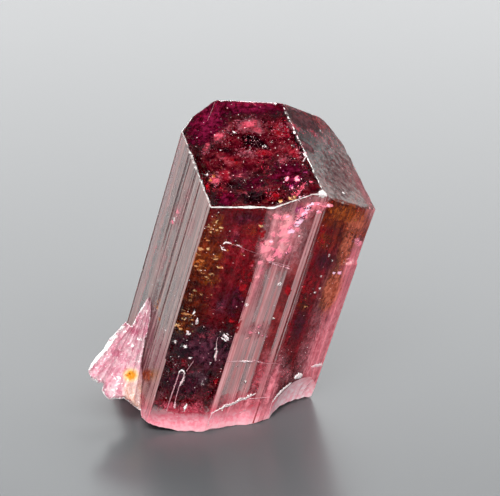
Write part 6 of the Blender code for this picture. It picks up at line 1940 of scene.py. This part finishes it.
# --------------------------------------------------------------------------------------------------------------------
# Fresh breaks, cracks that reach the surface and a hollow tube: thin pale slivers laid on the crystal, whose white is
# partly the pale break and partly a painted highlight along chip edges, cracks, the tube and the ridge
# --------------------------------------------------------------------------------------------------------------------
# (path in the frame, widths along it, tone 0 pink to 1 white with painted highlight, how solid)
SLIVERS = (
    # the scooped chip at the foot
    (((291.6, 382.4), (287.0, 386.2), (281.6, 391.0), (276.4, 396.6), (272.0, 402.6)), (0.9, 1.8, 2.3, 1.8, 0.8), 0.95, 0.90),
    (((272.0, 402.6), (270.4, 408.0), (269.6, 414.0)), (0.8, 0.6, 0.5), 0.5, 0.6),
    (((294.4, 378.6), (296.4, 377.2), (299.4, 375.6), (302.4, 374.4)), (2.0, 4.6, 5.6, 2.2), 1.0, 1.0),
    (((302.6, 402.2), (296, 403.6), (288.6, 405.4), (281, 409.0), (275, 411.8), (271, 414.6)), (0.8, 1.3, 1.5, 1.3, 1.2, 0.8), 0.9, 0.95),
    (((290, 402.6), (286, 405.0), (283, 407.2)), (0.6, 1.2, 0.7), 0.8, 0.8),
    (((303.4, 384.2), (299.6, 389.8), (297.0, 396.4)), (0.8, 1.4, 0.8), 0.35, 0.7),
    (((311.0, 381.6), (305.4, 389.0), (301.4, 396.6)), (0.8, 1.6, 0.8), 0.35, 0.7),
    # the crack low on the right-hand face
    (((311, 366.6), (315, 365.8), (320, 365.0), (324.4, 363.8)), (0.8, 2.0, 2.8, 2.6), 0.75, 0.85),
    (((310.6, 368.0), (318, 366.8), (324, 366.2)), (0.7, 0.8, 0.7), 0.15, 0.8),
    # hairline cracks on the striped face
    (((211, 413.4), (216, 411.0), (220.6, 408.6), (224.0, 406.8), (229, 405.6), (233, 404.2), (238, 401.6), (241, 399.6), (246, 399.2), (250, 396.6), (256, 393.2)),
     (0.7, 0.8, 1.4, 1.6, 1.1, 1.2, 1.7, 1.8, 1.0, 1.2, 0.8), 1.0, 0.9),
    (((226.5, 361.2), (232, 361.8), (238, 361.0), (242, 361.6)), (0.4, 0.6, 0.7, 1.0), 0.6, 0.6),
    (((249, 362.6), (257, 362.0), (267, 363.6), (276, 363.4), (284, 364.8)), (0.6, 0.5, 0.6, 0.4, 0.4), 0.3, 0.34),
    (((240.6, 361.0), (244.4, 362.0), (247.4, 362.2)), (0.7, 1.7, 0.8), 1.0, 0.9),
    (((267.6, 260.8), (273, 262.4), (279, 263.4), (285, 265.4), (290, 266.4)), (0.6, 0.7, 0.5, 0.6, 0.4), 0.45, 0.42),
    (((250, 398.8), (258, 398.2), (270, 397.0)), (0.6, 0.8, 0.5), 0.4, 0.6),
    (((238.6, 413.6), (246, 409.6)), (0.7, 0.7), 0.35, 0.5),
    (((207.6, 426.0), (209.8, 419.0), (212.8, 411.6)), (1.0, 1.3, 0.9), 0.4, 0.8),
    # the hollow growth tube under the front face
    (((166.6, 411.0), (169.6, 401.0), (172.8, 391.6), (176.0, 382.0), (178.8, 374.0)), (0.7, 0.8, 0.9, 0.9, 0.9), 0.25, 0.7),
    (((178.6, 374.4), (179.6, 371.2), (181.6, 370.2), (183.6, 371.2), (184.4, 374.2)), (0.9, 1.5, 1.8, 1.7, 1.3), 0.95, 0.95),
    (((184.4, 374.0), (183.4, 378.6), (181.4, 382.4), (179.2, 386.4)), (1.3, 1.6, 2.2, 1.0), 0.65, 0.9),
    (((179.2, 386.4), (177.4, 392.6), (175.8, 399.0), (175.2, 402.0)), (0.8, 0.7, 0.7, 0.9), 0.25, 0.65),
    (((175.4, 401.6), (174.8, 405.0), (174.2, 408.6)), (1.4, 2.2, 1.6), 0.5, 0.85),
    (((216.4, 343.0), (216.6, 350.0), (215.8, 356.0), (215.2, 361.0)), (0.6, 1.0, 1.5, 1.8), 0.55, 0.8),
    (((218.0, 337.0), (216.8, 341.0), (216.4, 344.0)), (0.6, 0.7, 0.6), 0.4, 0.5),
    (((193.6, 361.0), (190.0, 366.0), (186.4, 371.4)), (0.5, 0.7, 0.5), 0.25, 0.5),
    (((223.0, 244.2), (225.0, 242.4), (228.0, 242.6), (231.4, 243.8)), (0.8, 1.7, 2.0, 0.8), 1.0, 0.95),
    (((231.4, 244.4), (238, 246.0), (246, 249.6), (254, 252.4), (262, 255.0)), (0.35, 0.35, 0.45, 0.3, 0.3), 0.25, 0.26),
    (((220.8, 246.6), (222.4, 249.4), (226.4, 250.8)), (0.8, 1.3, 0.8), 1.0, 0.95),
    (((236.0, 244.6), (239.0, 245.4), (241.6, 247.0)), (0.7, 1.1, 0.6), 0.8, 0.8),
    (((223.0, 334.6), (225.8, 336.8), (228.6, 339.4)), (1.2, 2.8, 1.4), 1.0, 0.95),
    (((221.0, 337.6), (223.6, 339.2), (226.4, 341.6)), (0.8, 1.4, 0.8), 0.9, 0.9),
    (((226.2, 333.4), (228.8, 335.0)), (1.2, 0.8), 0.9, 0.9),
    (((195.8, 324.6), (196.6, 321.0), (197.6, 317.6)), (0.9, 1.5, 0.8), 0.8, 0.9),
    (((190.4, 358.6), (188.4, 357.8)), (1.4, 1.8), 0.9, 0.9),
    (((186.2, 330.6), (188.4, 332.0), (188.6, 335.2)), (1.0, 1.9, 1.2), 0.9, 0.9),
    # nibbled ridge between the two cap faces
    (((283.6, 107.4), (285.0, 109.6)), (0.8, 1.2), 0.9, 0.8),
    (((287.2, 116.8), (288.4, 118.0), (289.2, 118.4)), (0.8, 1.8, 0.8), 1.0, 0.95),
    (((293.0, 131.0), (294.4, 132.6), (295.6, 133.8)), (1.0, 2.4, 1.0), 1.0, 1.0),
    (((296.6, 135.4), (298.4, 139.2)), (1.2, 1.4), 0.9, 0.9),
    (((303.0, 153.2), (304.8, 154.8), (306.4, 156.4)), (1.2, 2.2, 1.0), 1.0, 1.0),
    (((302.8, 161.6), (304.6, 158.8), (306.6, 155.6)), (0.7, 0.9, 0.7), 0.8, 0.9),
    (((307.4, 158.2), (308.4, 159.8), (309.2, 161.4)), (0.8, 2.0, 0.8), 1.0, 0.95),
    (((318.4, 193.8), (321.4, 193.6), (324.6, 194.4), (327.0, 196.2)), (2.2, 4.6, 4.4, 1.6), 1.0, 1.0),
    # the faint step on the front cap face
    (((215.4, 101.0), (211.6, 110.6), (207.6, 120.6)), (0.4, 0.5, 0.4), 0.15, 0.10),
    (((200.0, 110.0), (194.0, 117.6), (188.6, 125.0)), (0.4, 0.6, 0.5), 0.35, 0.22),
)


def build_slivers():
    """Thin closed ribbons that follow the surface of the main crystal."""
    rng = np.random.default_rng(909)
    body = bmesh.new()
    body.from_mesh(main.data)
    tree = BVHTree.FromBMesh(body)
    body.free()
    verts, tris, tone, solid = [], [], [], []
    for path, widths, white_and_glint, firm in SLIVERS:
        path = np.array(path, float)
        run = np.concatenate([[0], np.cumsum(np.linalg.norm(np.diff(path, axis=0), axis=1))])
        count = max(3, int(run[-1] / 0.55))
        t = np.linspace(0, run[-1], count)
        q = np.column_stack([np.interp(t, run, path[:, 0]), np.interp(t, run, path[:, 1])])
        w = np.interp(t, run, widths) * rng.uniform(0.62, 1.30, count)
        w[0] = w[-1] = 0.25
        d = np.gradient(q, axis=0)
        d /= np.linalg.norm(d, axis=1)[:, None]
        side = np.column_stack([-d[:, 1], d[:, 0]])
        q = q + side * (rng.normal(0, 0.16, count) * np.minimum(1, w))[:, None]
        strip = []
        for k in range(count):
            pair = []
            for s in (-0.5, 0.0, 0.5):
                ray = rays(q[k] + side[k] * w[k] * s)[0]
                hit, _, _, _ = tree.ray_cast(Vector(EYE * MM), Vector(ray))
                if hit is None:
                    break
                at = np.array(hit) / MM
                # the middle stands a little proud of the two thin edges
                pair.append((at - ray * (0.012 if s else 0.012 + 0.018 * w[k]), at + ray * 0.03))
            if len(pair) < 3 or (strip and np.linalg.norm(pair[1][0] - strip[-1][1][0]) > 0.35):
                break
            strip.append(pair)
        if len(strip) < 2:
            continue
        start = len(verts)
        for pair in strip:
            for up, down in pair:
                verts += [up, down]
            tone += [white_and_glint] * 6
            solid += [firm] * 6
        loop = (0, 2, 4, 5, 3, 1)
        for k in range(len(strip) - 1):
            a, b = start + 6 * k, start + 6 * (k + 1)
            for u, v in zip(loop, loop[1:] + loop[:1]):
                tris += [(a + u, b + u, b + v), (a + u, b + v, a + v)]
        for a, flip in ((start, False), (start + 6 * (len(strip) - 1), True)):
            cap = [(a + 0, a + 2, a + 3), (a + 0, a + 3, a + 1), (a + 2, a + 4, a + 5), (a + 2, a + 5, a + 3)]
            tris += [c[::-1] if flip else c for c in cap]
    obj = fast_mesh("slivers_and_painted_glints", np.array(verts), np.array(tris), {"tone": np.array(tone), "solid": np.array(solid)}, "POINT")
    bm = bmesh.new()
    bm.from_mesh(obj.data)
    bmesh.ops.recalc_face_normals(bm, faces=bm.faces[:])
    print("sliver triangles", len(bm.faces), "open", sum(1 for e in bm.edges if not e.is_manifold))
    bm.to_mesh(obj.data)
    bm.free()
    mat, n = material("sliver_and_painted_glint")
    p = n.p.inputs
    grain = n.noise(n.crystal(), scale=8.0, detail=3, rough=0.6)
    # the white tone is partly pale break and partly painted highlight
    col = n.mix(n.attr("tone"), (0.96, 0.34, 0.44), (1.0, 0.94, 0.93))
    n.put(p["Base Color"], n.mix(n.step(grain, 0.62, 0.36), col, n.mix(0.45, col, (0.70, 0.30, 0.36))))
    n.put(p["Transmission Weight"], n.math("SUBTRACT", 1.0, n.math("MULTIPLY", n.attr("solid"), n.math("MULTIPLY_ADD", n.step(grain, 0.32, 0.58), 0.5, 0.5)), clamp=True))
    p["IOR"].default_value = 1.30
    p["Roughness"].default_value = 0.28
    absorb(n, (0.02, 0.05, 0.04))
    obj.data.materials.append(mat)
    return obj


slivers = build_slivers()
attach(slivers, "root")


# --------------------------------------------------------------------------------------------------------------------
# Floor, light, camera
# --------------------------------------------------------------------------------------------------------------------
def plane(name, size, z):
    s = size / 2
    return new_object(name, [(-s, -s, z), (s, -s, z), (s, s, z), (-s, s, z)], [(0, 1, 2, 3)])


floor = plane("floor", 1600, 0.0)
fmat = bpy.data.materials.new("pale_floor")
fmat.use_nodes = True
fp = fmat.node_tree.nodes["Principled BSDF"]
fp.inputs["Base Color"].default_value = (0.086, 0.091, 0.095, 1)
fp.inputs["Roughness"].default_value = 0.26
fp.inputs["IOR"].default_value = 1.50
floor.data.materials.append(fmat)

world = bpy.data.worlds.new("studio")
bpy.context.scene.world = world
world.use_nodes = True
wt = world.node_tree
w_co = wt.nodes.new("ShaderNodeTexCoord")
w_sep = wt.nodes.new("ShaderNodeSeparateXYZ")
w_ramp = wt.nodes.new("ShaderNodeValToRGB")
wt.links.new(w_co.outputs["Generated"], w_sep.inputs[0])
wt.links.new(w_sep.outputs["Z"], w_ramp.inputs[0])
stops = ((0.0, 0.62), (0.16, 0.62), (0.36, 0.28), (0.60, 0.16), (1.0, 0.14))
ramp = w_ramp.color_ramp.elements
while len(ramp) < len(stops):
    ramp.new(0.5)
for el, (pos, v) in zip(ramp, stops):
    el.position = pos
    el.color = (v * 0.98, v, v * 1.02, 1)
card = wt.nodes.new("ShaderNodeVectorMath")
card.operation = "DOT_PRODUCT"
wt.links.new(w_co.outputs["Generated"], card.inputs[0])
card_az, card_el = math.radians(38), math.radians(4)
card.inputs[1].default_value = (math.sin(card_az) * math.cos(card_el), math.cos(card_az) * math.cos(card_el), math.sin(card_el))
shade = wt.nodes.new("ShaderNodeMapRange")
shade.interpolation_type = "SMOOTHSTEP"
wt.links.new(card.outputs["Value"], shade.inputs[0])
shade.inputs[1].default_value, shade.inputs[2].default_value = 0.90, 0.965
shade.inputs[3].default_value, shade.inputs[4].default_value = 1.0, 0.22
dim = wt.nodes.new("ShaderNodeMix")
dim.data_type = "RGBA"
dim.blend_type = "MULTIPLY"
dim.inputs[0].default_value = 1.0
wt.links.new(w_ramp.outputs[0], dim.inputs[6])
wt.links.new(shade.outputs[0], dim.inputs[7])
wt.links.new(dim.outputs[2], wt.nodes["Background"].inputs["Color"])


def softbox(name, azimuth, elevation, distance, wide, high, radiance, colour=(1, 1, 1)):
    """A soft panel facing the crystal. Azimuth runs clockwise from the far side as the camera sees it, sizes are angles."""
    light = bpy.data.lights.new(name, "AREA")
    light.shape = "RECTANGLE"
    w, h = 2 * distance * math.tan(math.radians(wide) / 2), 2 * distance * math.tan(math.radians(high) / 2)
    light.size, light.size_y = w * MM, h * MM
    light.energy = radiance * math.pi * w * h * MM * MM
    light.color = colour
    obj = bpy.data.objects.new(name, light)
    bpy.context.scene.collection.objects.link(obj)
    a, e = math.radians(azimuth), math.radians(elevation)
    out = Vector((math.sin(a) * math.cos(e), math.cos(a) * math.cos(e), math.sin(e)))
    obj.location = (out * distance + Vector((0, 0, 10))) * MM
    obj.rotation_euler = (-out).to_track_quat("-Z", "Y").to_euler()
    obj.visible_camera = False
    return obj


softbox("back_panel", -4, 22, 360, 52, 32, 3.1)
softbox("left_panel", -58, 22, 360, 44, 34, 2.7)
softbox("high_back", 38, 63, 340, 44, 11, 19.5)
softbox("right_low", 130, 12, 330, 24, 16, 3.0)
softbox("front_fill", 172, 62, 320, 60, 24, 8.0)
softbox("front_low", 186, 11, 330, 70, 14, 6.0)

camera = bpy.data.cameras.new("photo_view")
camera.lens = 144.0
camera.sensor_width = 36.0
camera.clip_start, camera.clip_end = 0.005, 10
cam = bpy.data.objects.new("photo_view", camera)
bpy.context.scene.collection.objects.link(cam)
cam.location = Vector((3.213 + SHIFT[0], -127.925 + SHIFT[1], 74.013)) * MM
cam.rotation_euler = (math.radians(90 - 26), 0, 0)
bpy.context.scene.camera = cam

scene = bpy.context.scene
scene.view_settings.view_transform = "Standard"
scene.view_settings.use_curve_mapping = True
scene.view_settings.curve_mapping.black_level = (0.010, 0.010, 0.010)
scene.view_settings.curve_mapping.update()
scene.cycles.max_bounces = 40
scene.cycles.transmission_bounces = 40
scene.cycles.glossy_bounces = 24
scene.cycles.diffuse_bounces = 4
scene.cycles.transparent_max_bounces = 24
scene.cycles.volume_bounces = 0
scene.cycles.sample_clamp_indirect = 8.0
scene.cycles.use_denoising = True
